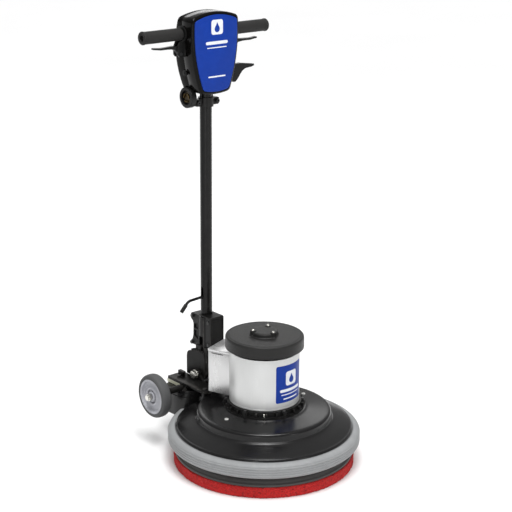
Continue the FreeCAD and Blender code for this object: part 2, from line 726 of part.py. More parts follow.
def latch_cover():
    """Bent cover in front of the socket: recessed front plate and a top plate round the tube."""
    w, y, top = 23.5, -207.0, SOCKET_TOP + 8
    front = box(-w, w, y - 9, y, 268, top)
    front = round_edges(front, 5, lambda e: along(e, X) and e.BoundBox.YMin > y - 1
                        and e.BoundBox.ZMin > top - 1)
    front = front.cut(box(-w + 4, w - 4, y - 2, y + 1, 276, top - 10))
    plate = box(-w, w, HANDLE_Y - 5, y - 8, top - 4, top)
    return fuse([front, plate]).cut(cylinder(TUBE_R + 0.2, 60, V(0, HANDLE_Y, 340)))


def handle_tube():
    """Main handle tube with the slot that the release rod's arm leaves by."""
    pipe = tube(TUBE_R, TUBE_R - TUBE_WALL, TUBE_TOP - TUBE_BOTTOM, V(0, HANDLE_Y, TUBE_BOTTOM))
    slot = box(5, 30, HANDLE_Y - 4.8, HANDLE_Y + 4.8, ROD_EXIT_Z - 5, ROD_EXIT_Z + 30)
    slot = round_edges(slot, 4.5, lambda e: along(e, X))
    lever_slot = box(-30, -5, HANDLE_Y - 6, HANDLE_Y + 6, 1022, 1078)
    return pipe.cut(slot).cut(lever_slot)


def head_outline(y, grow):
    """Closed wire of the head's front view at depth y, grown outwards by grow."""
    top, side, low = 1214 + grow, 71.5 + grow, 44 + grow
    corner_l, corner_r = V(-side, y, top), V(side, y, top)
    foot_l, foot_r = V(-low, y, 1024 - grow), V(low, y, 1024 - grow)
    crown = Part.Arc(corner_l, V(0, y, 1229 + grow), corner_r).toShape()
    right = Part.Arc(corner_r, V(70.5 + grow, y, 1139), foot_r).toShape()
    foot = Part.Arc(foot_r, V(0, y, 1018.5 - grow), foot_l).toShape()
    left = Part.Arc(foot_l, V(-70.5 - grow, y, 1139), corner_l).toShape()
    return Part.Wire([crown, right, foot, left])


def head_block(grow, y0, y1):
    """Solid of the head's outline between two depths."""
    return Part.Face(head_outline(y0, grow)).extrude(V(0, y1 - y0, 0))


def rear_profile(inset):
    """Prism in front of the head's bowed back, moved forward by inset."""
    low, mid, high = V(-200, -284, 980), V(-200, -297, 1100), V(-200, -268, 1260)
    back = Part.Arc(low + Y * inset, mid + Y * inset, high + Y * inset).toShape()
    corners = [high + Y * inset, V(-200, -150, 1260), V(-200, -150, 980), low + Y * inset]
    rest = [Part.LineSegment(a, b).toShape() for a, b in zip(corners, corners[1:])]
    return Part.Face(Part.Wire([back] + rest)).extrude(X * 400)


def head_solid():
    """Outside of the head: bowed back and rounded front and rear edges."""
    solid = head_block(HEAD_EDGE, HEAD_REAR - 10, HEAD_FRONT).common(rear_profile(0))
    solid = round_edges(solid, 8, lambda e: e.BoundBox.YMin > HEAD_FRONT - 0.5)
    return round_edges(solid, 8, lambda e: e.BoundBox.YMax < -262 and not along(e, Y))


def head_case():
    """Hollow head casing with its openings, before it is split front from rear."""
    solid = head_solid()
    hollow = head_block(HEAD_EDGE - HEAD_WALL, HEAD_REAR + 2, HEAD_FRONT - HEAD_WALL)
    hollow = hollow.common(rear_profile(HEAD_WALL))
    case = solid.cut(hollow)
    case = case.cut(head_block(0, HEAD_FRONT - 1.5, HEAD_FRONT + 5))
    case = case.cut(cylinder(BAR_R + 0.2, 240, V(-120, HANDLE_Y, BAR_Z), X))
    case = case.cut(cylinder(TUBE_R + 0.2, 60, V(0, HANDLE_Y, 980)))
    case = case.cut(cylinder(INLET_R + 0.2, 80, INLET + X * (INLET_FACE - 16), X))
    case = case.cut(box(-120, -50, HANDLE_Y - 7, HANDLE_Y + 7, 1040, 1068))
    case = case.cut(cylinder(6.2, 60, BREAKER + X * 40, X))
    return case


def head_halves():
    """Front and rear shells, split on the plane of the handlebar."""
    case = head_case()
    front = case.common(box(-150, 150, HANDLE_Y, -150, 950, 1300))
    rear = case.common(box(-150, 150, -350, HANDLE_Y, 950, 1300))
    return front, rear


def head_panel():
    """Blue front panel, slightly proud of its recess."""
    panel = head_block(-0.4, HEAD_FRONT - 1.5, PANEL_FACE)
    return round_edges(panel, 1.2, lambda e: e.BoundBox.YMin > PANEL_FACE - 0.1)


def handlebar():
    """Cross bar through the head."""
    return tube(BAR_R, BAR_R - 2.5, 2 * BAR_END, V(-BAR_END, HANDLE_Y, BAR_Z), X)


def grip():
    """Rubber grip with an open end and a small end collar."""
    body = cylinder(GRIP_R, GRIP_END - 86, V(86, HANDLE_Y, BAR_Z), X)
    body = round_edges(body, 2.5, lambda e: e.Length > 60)
    collar = cylinder(GRIP_R + 1, 5, V(GRIP_END - 6, HANDLE_Y, BAR_Z), X)
    body = fuse([body, round_edges(collar, 1.5, lambda e: e.Length > 60)])
    body = body.cut(cylinder(BAR_R, BAR_END, V(0, HANDLE_Y, BAR_Z), X))
    return body.cut(cylinder(8.5, 12, V(GRIP_END - 9, HANDLE_Y, BAR_Z), X))


def lever_bracket():
    """Escutcheon round the bar with a two-eared clevis for the switch lever."""
    ring = cylinder(22, 7, V(78.5, HANDLE_Y, BAR_Z), X)
    plate = box(78.5, 84, HANDLE_Y - 13, HANDLE_Y + 13, 1117, BAR_Z)
    ears = []
    for y in (HANDLE_Y - 11, HANDLE_Y + 6.5):
        ear = prism([V(83, y, 1118), V(98, y, 1118), V(103, y, 1124), V(103, y, 1146),
                     V(96, y, 1160), V(83, y, 1160)], Y * 4.5)
        ears.append(ear)
    whole = fuse([ring, plate] + ears)
    whole = whole.cut(cylinder(BAR_R, 30, V(70, HANDLE_Y, BAR_Z), X))
    whole = whole.cut(cylinder(LEVER_PIN_R, 60, LEVER_PIVOT - Y * 30, Y))
    return whole.cut(head_solid())


def lever_pin():
    """Pivot pin of a switch lever with a domed head."""
    pin = cylinder(LEVER_PIN_R, 24, LEVER_PIVOT - Y * 12, Y)
    head = cylinder(4.4, 1.6, LEVER_PIVOT + Y * 11, Y)
    return fuse([pin, head])


def switch_lever():
    """Bent switch lever under the grip: knuckle, riser and a thin blade."""
    w = 6.0
    y = HANDLE_Y - w
    knuckle = cylinder(6, 2 * w, LEVER_PIVOT - Y * w, Y)
    outline = [V(87, y, 1129), V(96, y, 1121.6), V(104, y, 1134), V(112, y, 1140),
               V(130, y, 1142), V(156, y, 1142), V(170, y, 1144), V(179, y, 1145),
               V(179, y, 1148), V(170, y, 1147.5), V(156, y, 1146), V(130, y, 1147),
               V(112, y, 1148), V(102, y, 1146.5), V(94, y, 1139)]
    lever = fuse([knuckle, prism(outline, Y * (2 * w))])
    return lever.cut(cylinder(LEVER_PIN_R + RUN, 40, LEVER_PIVOT - Y * 20, Y))


def tilt_lever():
    """Hooked release lever on the left of the head, with finger ribs on its underside."""
    w = 5.5
    y = HANDLE_Y - w
    knuckle = cylinder(7, 2 * w, TILT_PIVOT - Y * w, Y)
    outline = [V(-84, y, 1078), V(-120, y, 1080), V(-160, y, 1074), V(-170, y, 1073),
               V(-170, y, 1068), V(-160, y, 1066), V(-140, y, 1064), V(-128, y, 1058),
               V(-119, y, 1048), V(-112, y, 1038), V(-102, y, 1029), V(-95, y, 1029),
               V(-88, y, 1036), V(-82, y, 1046)]
    parts = [knuckle, prism(outline, Y * (2 * w))]
    for i in range(5):
        parts.append(cylinder(1.6, 2 * w, V(-141 - 5.2 * i, y, 1064.6 + 0.55 * i), Y))
    lever = fuse(parts)
    return lever.cut(cylinder(LEVER_PIN_R + RUN, 40, TILT_PIVOT - Y * 20, Y))


def tilt_bracket():
    """Ears and pin that carry the tilt release lever."""
    ears = [box(-96, -60, y, y + 4, 1036, 1056) for y in (HANDLE_Y - 10.5, HANDLE_Y + 6.5)]
    pin = cylinder(LEVER_PIN_R, 24, TILT_PIVOT - Y * 12, Y)
    return fuse(ears + [pin]).cut(head_solid())


def head_collar():
    """Clamp under the head: ring round the tube with a bolted ear each side."""
    ring = cylinder(21.5, 26, V(0, HANDLE_Y, 972))
    ears = box(-41, 41, HANDLE_Y - 8, HANDLE_Y + 8, 975, 995)
    ears = round_edges(ears, 5, lambda e: along(e, Y))
    posts = [cylinder(3.5, 20, V(side * 19, HANDLE_Y + 3, 990)) for side in (-1, 1)]
    whole = fuse([ring, ears] + posts)
    whole = whole.cut(cylinder(TUBE_R, 60, V(0, HANDLE_Y, 960)))
    whole = whole.cut(head_solid())
    for side in (-1, 1):
        place = V(side * COLLAR_BOLT_X, HANDLE_Y - 20, COLLAR_BOLT_Z)
        whole = whole.cut(cylinder(3, 40, place, Y))
    return whole


def collar_bolts():
    """Socket-head bolts in the collar's ears."""
    bolts = []
    for side in (-1, 1):
        at = V(side * COLLAR_BOLT_X, HANDLE_Y + 8, COLLAR_BOLT_Z)
        head = cylinder(5.5, 6, at, Y).cut(hexagon(5, 4, at + Y * 3, Y))
        bolts.append(fuse([head, cylinder(3, 14, at, Y * -1)]))
    return Part.makeCompound(bolts)


def power_inlet():
    """Round flanged power inlet with a recessed face."""
    body = cylinder(INLET_R, 16, INLET + X * (INLET_FACE - 16), X)
    body = round_edges(body, 2.5, lambda e: e.BoundBox.XMin > INLET_FACE - 0.5)
    body = body.cut(cylinder(20, 12, INLET + X * (INLET_FACE - 8), X))
    for i in range(3):
        body = body.cut(inlet_blade(i))
    return body


def inlet_blade(index):
    """One curved blade of the inlet."""
    blade = tube(12.5, 10.5, 14, INLET + X * (INLET_FACE - 15), X)
    keep = box(30, 70, INLET.y, INLET.y + 30, INLET.z - 7, INLET.z + 7)
    piece = blade.common(keep)
    piece.rotate(INLET, X, 120 * index + 30)
    return piece


def inlet_blades():
    """Three contact blades."""
    return Part.makeCompound([inlet_blade(i) for i in range(3)])


def switch_box():
    """Twin-lever switch in the middle of the head."""
    body = box(-30, 30, -240, -216, 1092, 1152)
    return round_edges(body, 3, lambda e: along(e, Y))


def breaker():
    """Circuit breaker body with a threaded collar in the head's right wall."""
    y, z = BREAKER.y, BREAKER.z
    body = box(30, 52, y - 11.5, y + 10.5, z - 11, z + 11)
    collar = cylinder(6, 23, BREAKER + X * 51, X)
    nut = tube(8.2, 6, 2.5, BREAKER + X * 71, X)
    whole = fuse([body, collar, nut])
    whole = whole.cut(cylinder(3.3, 17, BREAKER + X * 60, X))
    return whole.cut(cylinder(TUBE_R + 1, 200, V(0, HANDLE_Y, 980)))


def reset_button():
    """Push button of the circuit breaker."""
    button = cylinder(3, 12.5, BREAKER + X * 63, X)
    return round_edges(button, 0.8, lambda e: e.BoundBox.XMin > 75)


# ---- release rod ------------------------------------------------------------------------------

def release_rod():
    """Rod inside the tube with a bent foot-and-hand arm through the slot."""
    low = cylinder(ROD_R, 1044 - PAWL_Z - 12, V(0, HANDLE_Y, PAWL_Z + 12))
    start = V(0, HANDLE_Y, ROD_EXIT_Z + 0.8)
    corner, end = start + ARM_CORNER, start + ARM_END
    back, out = (start - corner).normalize(), (end - corner).normalize()
    half = back.getAngle(out) / 2
    bend_in = corner + back * (ARM_BEND_R / math.tan(half))
    bend_out = corner + out * (ARM_BEND_R / math.tan(half))
    inner_side = (back + out).normalize()
    bend_mid = corner + inner_side * (ARM_BEND_R / math.sin(half) - ARM_BEND_R)
    path = Part.Wire([Part.LineSegment(start, bend_in).toShape(),
                      Part.Arc(bend_in, bend_mid, bend_out).toShape(),
                      Part.LineSegment(bend_out, end).toShape()])
    section = Part.Wire([Part.makeCircle(ROD_R, start, corner - start)])
    arm = path.makePipeShell([section], True, False)
    sleeve = cylinder(ROD_R + 1.4, 25, end - out * 23, out)
    return fuse([low, arm, sleeve])


def pawl():
    """Cross bar that drops over the sector plates' teeth."""
    bar = box(-27.5, 27.5, HANDLE_Y - 7, HANDLE_Y + 7, PAWL_Z, PAWL_Z + 12)
    return round_edges(bar, 2, lambda e: along(e, X))


# ---- write ---------------------------------------------------------------------------------------

def main():
    """Builds every piece and writes its node."""
    os.makedirs("parts", exist_ok=True)
    export("floor_pad", floor_pad())
    export("pad_driver", pad_driver())
    export("drive_clutch", drive_clutch())
    export("planet_carrier", planet_carrier())
    export("motor_shaft", motor_shaft())
    export("rotor", rotor())
    export("cooling_fan", cooling_fan())
    for i in range(PLANETS):
        export("planet_gear_%d" % (i + 1), planet_gear(i))
    export("ring_gear", ring_gear())

    export("deck", deck())
    export("bumper", bumper())
    export("gear_case", gear_case())
    export("bearings", bearings())
    export("end_bell", drill_bell(end_bell()))
    export("end_bell_bolts", end_bell_bolts())
    export("motor_shell", motor_shell())
    export("stator", stator())
    export("motor_cap", motor_cap())
    export("cap_screws", cap_screws())
    export("capacitor_box", capacitor_box())
    export("capacitors", capacitors())
    export("deck_plugs", deck_plugs())
    export("yoke", yoke())
    export("yoke_bolts", yoke_bolts())
    export("sector_plates", sector_plates())
    export("pivot_bolt", pivot_bolt())
    export("axle_spacers", axle_spacers())
    export("axle", axle())
    export("axle_nuts", axle_nuts())

    export("wheel_hub_right", wheel_hub())
    export("wheel_hub_left", mirror_x(wheel_hub()))
    export("tyre_right", tyre())
    export("tyre_left", mirror_x(tyre()))

    export("socket_right", socket_half())
    export("socket_left", mirror_x(socket_half()))
    export("socket_bolts", socket_bolts())
    export("latch_cover", latch_cover())
    export("handle_tube", handle_tube())
    front, rear = head_halves()
    export("head_front", front)
    export("head_rear", rear)
    export("head_panel", head_panel())
    export("handlebar", handlebar())
    export("grip_right", grip())
    export("grip_left", mirror_x(grip()))
    brackets = [lever_bracket(), mirror_x(lever_bracket()), tilt_bracket()]
    export("lever_brackets", Part.makeCompound(brackets))
    export("lever_pins", Part.makeCompound([lever_pin(), mirror_x(lever_pin())]))
    export("switch_lever_right", switch_lever())
    export("switch_lever_left", mirror_x(switch_lever()))
    export("tilt_lever", tilt_lever())
    export("head_collar", head_collar())
    export("collar_bolts", collar_bolts())
    export("power_inlet", power_inlet())
    export("inlet_blades", inlet_blades())
    export("switch_box", switch_box())
    export("breaker", breaker())
    export("reset_button", reset_button())
    export("release_rod", release_rod())
    export("pawl", pawl())


main()
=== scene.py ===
import json
import math
import random

import bpy
from mathutils import Matrix, Vector, noise

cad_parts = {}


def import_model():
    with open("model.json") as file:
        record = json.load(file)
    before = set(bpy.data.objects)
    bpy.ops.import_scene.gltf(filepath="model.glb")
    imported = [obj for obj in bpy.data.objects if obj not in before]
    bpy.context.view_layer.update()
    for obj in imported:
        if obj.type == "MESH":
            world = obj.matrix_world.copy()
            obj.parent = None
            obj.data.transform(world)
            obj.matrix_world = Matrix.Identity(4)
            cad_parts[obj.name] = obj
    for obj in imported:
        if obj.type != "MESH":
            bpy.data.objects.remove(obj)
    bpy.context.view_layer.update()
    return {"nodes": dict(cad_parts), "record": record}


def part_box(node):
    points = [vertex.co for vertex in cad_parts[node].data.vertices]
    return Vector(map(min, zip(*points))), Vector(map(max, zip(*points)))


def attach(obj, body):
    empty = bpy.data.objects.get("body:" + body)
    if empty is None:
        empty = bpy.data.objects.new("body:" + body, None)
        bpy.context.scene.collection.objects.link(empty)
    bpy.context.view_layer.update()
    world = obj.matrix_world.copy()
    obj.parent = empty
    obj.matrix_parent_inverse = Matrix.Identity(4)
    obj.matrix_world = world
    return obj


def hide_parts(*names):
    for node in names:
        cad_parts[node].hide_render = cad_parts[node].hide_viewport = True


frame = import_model()

# places and sizes that the frame doesn't give, in millimetres and degrees
MM = 0.001
BUMPER_GAP = 25.0       # half angle that the bumper leaves open at the rear
STRANDS = 9000          # loose fibres round the pad
CAP_EAR_H = 14.0        # from the cap's flat top up to the top of its screw ears
CAP_SIDE_H = 35.0       # from the cap's foot up to its flat top
CAP_EAR_R = 33.0        # from the motor's axis to the middle of an ear
CAP_EAR_TURN = 94.0     # the first ear, turned from +X towards +Y
BOX_TURN = 20.0         # how far round the motor the capacitor box sits
BOX_W = 44.0            # half width of the box
BOX_BACK = -157.0       # its rear and front faces, before that turn
BOX_FRONT = -84.0
BOX_SLOT_Y = -126.0     # middle of the slots under its lid
HEAD_EDGE = 7.5         # how far the casing stands out round its front panel
HEAD_DROP = 15.0        # from the crown of the head down to its corners
HEAD_H = 205.0          # from the crown down to the foot
HEAD_FOOT = 44.0        # half width of the foot
HEAD_WIDEST = 90.0      # from the crown down to the middle of the sides
HEAD_CORNER = 9.8       # reach of the casing's rounded corners
PANEL_CORNER = 7.0      # and of the front panel's
DECAL_LIFT = 0.12       # gap between a printed mark and the face that it is on
LABEL_TURN = 98.0       # middle of the motor label, turned from +X towards +Y
PIN_TURN = 49.0         # the small pin on the end bell
YOKE_FACE_IN = 12.6     # from the yoke's widest point in to the label strip
INLET_FACE_IN = 7.9     # from the inlet's outer rim in to its inner face
ARM_END = (90.7, -257.0, 388.8)     # tip of the foot arm
ARM_WAY = (18.7, 0.0, -20.1)        # the way its last stretch points

BODY = {n: b for b, ns in frame["record"]["behaviour"]["bodies"].items() for n in ns}
SLOT = {s["node"]: s["material_slot"] for s in frame["record"]["subparts"]}


def span(node):
    """Lowest and highest corner of a CAD node, in millimetres."""
    lo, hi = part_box(node)
    return lo / MM, hi / MM


# ---- materials --------------------------------------------------------------------------

class Graph:
    """Short way to wire a material's nodes. Textures follow the frame's own coordinates."""

    def __init__(self, name):
        self.material = bpy.data.materials.new(name)
        self.material.use_nodes = True
        self.tree = self.material.node_tree
        self.shader = self.tree.nodes["Principled BSDF"]
        self.place = self.add("ShaderNodeTexCoord").outputs["Object"]

    def add(self, kind, **values):
        node = self.tree.nodes.new(kind)
        for key, value in values.items():
            setattr(node, key, value)
        return node

    def link(self, a, b):
        self.tree.links.new(a, b)

    def put(self, socket, value):
        if isinstance(value, bpy.types.NodeSocket):
            self.link(value, socket)
        else:
            socket.default_value = value

    def stretch(self, scale):
        node = self.add("ShaderNodeMapping")
        self.link(self.place, node.inputs["Vector"])
        node.inputs["Scale"].default_value = scale
        return node.outputs["Vector"]

    def noise(self, scale, detail=3.0, rough=0.5, vector=None, distortion=0.0):
        node = self.add("ShaderNodeTexNoise")
        self.link(vector or self.place, node.inputs["Vector"])
        node.inputs["Scale"].default_value = scale
        node.inputs["Detail"].default_value = detail
        node.inputs["Roughness"].default_value = rough
        node.inputs["Distortion"].default_value = distortion
        return node.outputs["Fac"]

    def cells(self, scale, vector=None):
        node = self.add("ShaderNodeTexVoronoi")
        self.link(vector or self.place, node.inputs["Vector"])
        node.inputs["Scale"].default_value = scale
        return node.outputs["Distance"]

    def ramp(self, value, low, high, out_low=0.0, out_high=1.0):
        node = self.add("ShaderNodeMapRange")
        self.put(node.inputs["Value"], value)
        node.inputs["From Min"].default_value = low
        node.inputs["From Max"].default_value = high
        node.inputs["To Min"].default_value = out_low
        node.inputs["To Max"].default_value = out_high
        return node.outputs["Result"]

    def math(self, kind, a, b=0.0):
        node = self.add("ShaderNodeMath", operation=kind)
        self.put(node.inputs[0], a)
        self.put(node.inputs[1], b)
        return node.outputs[0]

    def mix(self, factor, a, b):
        node = self.add("ShaderNodeMix", data_type="RGBA")
        self.put(node.inputs[0], factor)
        self.put(node.inputs[6], a if isinstance(a, bpy.types.NodeSocket) else (*a, 1.0))
        self.put(node.inputs[7], b if isinstance(b, bpy.types.NodeSocket) else (*b, 1.0))
        return node.outputs[2]

    def bump(self, height, strength, distance):
        node = self.add("ShaderNodeBump")
        self.link(height, node.inputs["Height"])
        node.inputs["Strength"].default_value = strength
        node.inputs["Distance"].default_value = distance
        return node.outputs["Normal"]

    def done(self, color, rough, normal, **fixed):
        self.link(color, self.shader.inputs["Base Color"])
        self.link(rough, self.shader.inputs["Roughness"])
        self.link(normal, self.shader.inputs["Normal"])
        for key, value in fixed.items():
            self.shader.inputs[key.replace("_", " ")].default_value = value
        return self.material


def shade(color, k):
    """A colour made lighter or darker."""
    return tuple(min(1.0, c * k) for c in color)


def coated(name, base, rough, vary=0.18, grain=900.0, bump=0.1, wear=0.0, metallic=0.0,
           stretch=None, worn=(0.20, 0.19, 0.18), **fixed):
    """General finish: broad tone changes, smudges, fine grain and rubbed edges."""
    g = Graph(name)
    broad = g.noise(7.0, 4.0, 0.55)
    smudge = g.noise(38.0, 5.0, 0.6, distortion=0.6)
    fine = g.noise(grain, 3.0, 0.6, g.stretch(stretch) if stretch else None)
    tone = g.mix(g.ramp(broad, 0.3, 0.7), shade(base, 1 - vary), shade(base, 1 + vary))
    tone = g.mix(g.math("MULTIPLY", g.ramp(smudge, 0.45, 0.75), 0.35), tone, shade(base, 1.35))
    if wear:
        pointed = g.add("ShaderNodeNewGeometry").outputs["Pointiness"]
        edge = g.math("MULTIPLY", g.ramp(pointed, 0.53, 0.60), g.ramp(smudge, 0.35, 0.65, 0.2, 1.0))
        tone = g.mix(g.math("MULTIPLY", edge, wear), tone, worn)
    roughness = g.ramp(smudge, 0.25, 0.8, rough * 0.85, min(1.0, rough * 1.2))
    normal = g.bump(fine, bump, 0.0004)
    return g.done(tone, roughness, normal, Metallic=metallic, **fixed)


def bright_metal(name, base, rough, stretch, lines):
    """Polished sheet with a fine one-way grain and faint wiped marks."""
    g = Graph(name)
    grain = g.noise(1100.0, 2.0, 0.7, g.stretch(stretch))
    broad = g.noise(5.0, 3.0, 0.5)
    wiped = g.noise(24.0, 5.0, 0.65, g.stretch((1.0, 1.0, 0.35)), 0.8)
    tone = g.mix(g.ramp(broad, 0.3, 0.7), shade(base, 0.95), shade(base, 1.04))
    tone = g.mix(g.math("MULTIPLY", g.ramp(grain, 0.35, 0.7), lines), tone, shade(base, 0.78))
    roughness = g.math("ADD", g.ramp(wiped, 0.3, 0.8, rough * 0.8, rough * 1.3),
                       g.ramp(grain, 0.3, 0.7, -0.03, 0.04))
    normal = g.bump(grain, 0.03, 0.0002)
    return g.done(tone, roughness, normal, Metallic=0.75, Anisotropic=0.35)


def pad_fibre():
    """Open non-woven fibre: red strands over pores darkened with painted shade, with lighter frayed
    ends.
    """
    g = Graph("pad_red_fibre")
    warp = g.stretch((1.0, 1.0, 2.4))
    strands = g.noise(150.0, 7.0, 0.8, warp, 1.8)
    pores = g.cells(420.0, warp)
    flecks = g.noise(170.0, 3.0, 0.5, g.stretch((1.0, 1.0, 1.6)))
    broad = g.noise(14.0, 4.0, 0.6)
    tone = g.mix(g.ramp(broad, 0.3, 0.7), (0.50, 0.011, 0.011), (0.62, 0.017, 0.017))
    tone = g.mix(g.ramp(strands, 0.50, 0.62), tone, (0.74, 0.050, 0.045))
    # painted shade: the pores between the strands are darkened
    tone = g.mix(g.ramp(pores, 0.50, 0.80, 0.0, 0.55), tone, (0.16, 0.006, 0.006))
    tone = g.mix(g.ramp(flecks, 0.56, 0.64, 0.0, 0.6), tone, (0.10, 0.006, 0.008))
    height = g.math("SUBTRACT", strands, g.math("MULTIPLY", pores, 0.6))
    normal = g.bump(height, 0.9, 0.0014)
    roughness = g.ramp(strands, 0.3, 0.7, 0.95, 0.8)
    return g.done(tone, roughness, normal, Specular_IOR_Level=0.15, Sheen_Weight=0.08,
                  Sheen_Roughness=0.6)


def pebbled(name, base, rough, scale, depth, gloss=0.24):
    """Moulded plastic with a leather-like grain."""
    g = Graph(name)
    cells = g.cells(scale)
    fine = g.noise(scale * 2.4, 3.0, 0.6)
    broad = g.noise(9.0, 4.0, 0.6)
    tone = g.mix(g.ramp(broad, 0.3, 0.7), shade(base, 0.85), shade(base, 1.15))
    tone = g.mix(g.ramp(cells, 0.2, 0.8, 0.0, 0.5), tone, shade(base, 1.6))
    height = g.math("ADD", cells, g.math("MULTIPLY", fine, 0.4))
    normal = g.bump(height, depth, 0.0006)
    return g.done(tone, g.ramp(fine, 0.3, 0.7, rough * 0.9, rough * 1.12), normal,
                  Specular_IOR_Level=gloss)


# one finish for each material slot of the record
DULL = {"Specular_IOR_Level": 0.14}
SATIN = {"Specular_IOR_Level": 0.22}
MAT = {
    "pad_red": pad_fibre(),
    "driver_grey": coated("driver_plastic", (0.075, 0.072, 0.070), 0.5, bump=0.25, **SATIN),
    "clutch_plastic": coated("clutch_plastic", (0.03, 0.03, 0.03), 0.55, **DULL),
    "steel": coated("machined_steel", (0.42, 0.42, 0.43), 0.32, metallic=1.0,
                    stretch=(0.1, 1.0, 1.0)),
    "steel_dark": coated("blackened_steel", (0.020, 0.020, 0.021), 0.32, metallic=0.4, wear=0.3),
    "zinc": coated("zinc_plate", (0.72, 0.71, 0.66), 0.22, metallic=1.0, grain=1500.0, bump=0.05,
                   vary=0.08),
    "aluminium": coated("cast_aluminium", (0.56, 0.56, 0.58), 0.4, metallic=1.0),
    "gear_nylon": coated("gear_nylon", (0.55, 0.51, 0.42), 0.45),
    "deck_black": coated("deck_paint", (0.0055, 0.0053, 0.0055), 0.22, grain=620.0, bump=0.16,
                         wear=0.04, Specular_IOR_Level=0.34),
    "cast_black": coated("casting_paint", (0.0065, 0.0063, 0.0062), 0.34, grain=520.0, bump=0.35,
                         wear=0.3, **SATIN),
    "cast_dark": coated("raw_casting", (0.05, 0.05, 0.055), 0.6, metallic=0.6, bump=0.5),
    "bumper_grey": coated("bumper_vinyl", (0.262, 0.268, 0.272), 0.46, vary=0.05, grain=700.0,
                          bump=0.2, **SATIN),
    "motor_bright": bright_metal("motor_stainless", (0.64, 0.645, 0.64), 0.36,
                                 stretch=(1.0, 1.0, 0.015), lines=0.12),
    "box_bright": bright_metal("sheet_stainless", (0.68, 0.68, 0.68), 0.30,
                               stretch=(1.0, 1.0, 0.02), lines=0.06),
    "cap_black": pebbled("cap_plastic", (0.010, 0.0098, 0.0094), 0.40, 900.0, 0.5, 0.30),
    "can_plastic": coated("inner_plastic", (0.02, 0.02, 0.02), 0.5, **DULL),
    "plug_white": coated("plug_plastic", (0.66, 0.66, 0.64), 0.4, vary=0.05),
    "plate_black": coated("powder_coat", (0.0055, 0.0053, 0.005), 0.38, grain=1000.0, bump=0.3,
                          wear=0.3, **DULL),
    "hub_grey": coated("hub_plastic", (0.37, 0.375, 0.405), 0.38, vary=0.10, bump=0.2, wear=0.3,
                       worn=(0.50, 0.50, 0.53)),
    "tyre_grey": pebbled("tyre_rubber", (0.066, 0.067, 0.068), 0.62, 1400.0, 0.3),
    "tube_black": coated("tube_paint", (0.0045, 0.0045, 0.0045), 0.24, grain=900.0, bump=0.1,
                         wear=0.2, Specular_IOR_Level=0.20),
    "head_black": coated("head_gloss", (0.0028, 0.0026, 0.0024), 0.15, grain=300.0, bump=0.04,
                         Specular_IOR_Level=0.11),
    "panel_blue": coated("panel_blue", (0.0045, 0.036, 0.285), 0.34, vary=0.05, grain=1600.0,
                         bump=0.05, **DULL),
    "grip_black": pebbled("grip_rubber", (0.016, 0.0155, 0.015), 0.6, 1500.0, 0.4),
    "moulded_black": coated("moulding", (0.007, 0.007, 0.007), 0.36, bump=0.25, wear=0.15, **SATIN),
    # brass far darker than bare brass: painted shade of the inlet's recess on its blades
    "brass": coated("contact_brass_painted_shade", (0.11, 0.075, 0.030), 0.45, metallic=1.0),
    "button_black": coated("button", (0.01, 0.01, 0.01), 0.3, **SATIN),
}
# finishes of the small pieces that only this script has
PRINT = coated("print_white", (0.74, 0.76, 0.80), 0.4, vary=0.03)
STRIP = coated("strip_pale", (0.55, 0.55, 0.42), 0.45, vary=0.2)
INLET_FACE = coated("inlet_face_brown", (0.040, 0.028, 0.010), 0.5, vary=0.2)
# near-black disc in the deck plugs' holes: painted shade
PLUG_HOLE_SHADE = coated("plug_hole_shade", (0.02, 0.02, 0.02), 0.5)


# ---- mesh helpers: everything is built in millimetres in the row frame -------------------

def piece(name, verts, faces, mat, body, slot):
    """A new smooth mesh piece that rides on a body."""
    mesh = bpy.data.meshes.new(name)
    mesh.from_pydata([(x * MM, y * MM, z * MM) for x, y, z in verts], [], faces)
    mesh.validate()
    mesh.update()
    mesh.polygons.foreach_set("use_smooth", [True] * len(mesh.polygons))
    mesh.materials.append(mat)
    obj = bpy.data.objects.new(name, mesh)
    bpy.context.scene.collection.objects.link(obj)
    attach(obj, body)
    return obj


def for_node(name, verts, faces, node):
    """A piece that rides on a CAD node's body, wears the finish of its slot and hides the node."""
    obj = piece(name, verts, faces, MAT[SLOT[node]], BODY[node], SLOT[node])
    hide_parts(node)
    return obj


def curve(start, corner, end, t):
    """Point at share t along the quadratic curve that rounds a corner."""
    return start * (1 - t) ** 2 + corner * (2 * t * (1 - t)) + end * t * t


def soften(points, closed=False, n=5):
    """Rounds the corners of an outline of (a, b, radius) points."""
    out = []
    count = len(points)
    for i, (a, b, r) in enumerate(points):
        if r <= 0 or (not closed and i in (0, count - 1)):
            out.append((a, b))
            continue
        corner = Vector((a, b))
        back = Vector(points[i - 1][:2]) - corner
        ahead = Vector(points[(i + 1) % count][:2]) - corner
        reach = min(r, back.length * 0.49, ahead.length * 0.49)
        start, end = corner + back.normalized() * reach, corner + ahead.normalized() * reach
        out += [tuple(curve(start, corner, end, k / n)) for k in range(n + 1)]
    return out


def lathe(profile, n=160, start=0.0, end=360.0, closed=True):
    """Surface of revolution about Z of an (r, z) outline. closed joins its last point to its first."""
    verts, faces = [], []
    steps = n if end - start >= 360.0 else n + 1
    m = len(profile)
    for i in range(steps):
        a = math.radians(start + (end - start) * i / n)
        verts += [(r * math.cos(a), r * math.sin(a), z) for r, z in profile]
    for i in range(n):
        j = (i + 1) % steps
        for k in range(m if closed else m - 1):
            after = (k + 1) % m
            faces.append((i * m + k, j * m + k, j * m + after, i * m + after))
    return verts, faces


def moved(shape, matrix):
    """The (verts, faces) of a shape put somewhere else."""
    verts, faces = shape
    return [tuple(matrix @ Vector(v)) for v in verts], faces


def joined(*shapes):
    """Several shapes as one."""
    verts, faces = [], []
    for vs, fs in shapes:
        base = len(verts)
        verts += vs
        faces += [tuple(base + i for i in f) for f in fs]
    return verts, faces


def upright_to(direction, at):
    """Matrix that turns +Z to a direction and moves the origin to a place."""
    turn = Vector((0, 0, 1)).rotation_difference(Vector(direction)).to_matrix().to_4x4()
    return Matrix.Translation(Vector(at)) @ turn


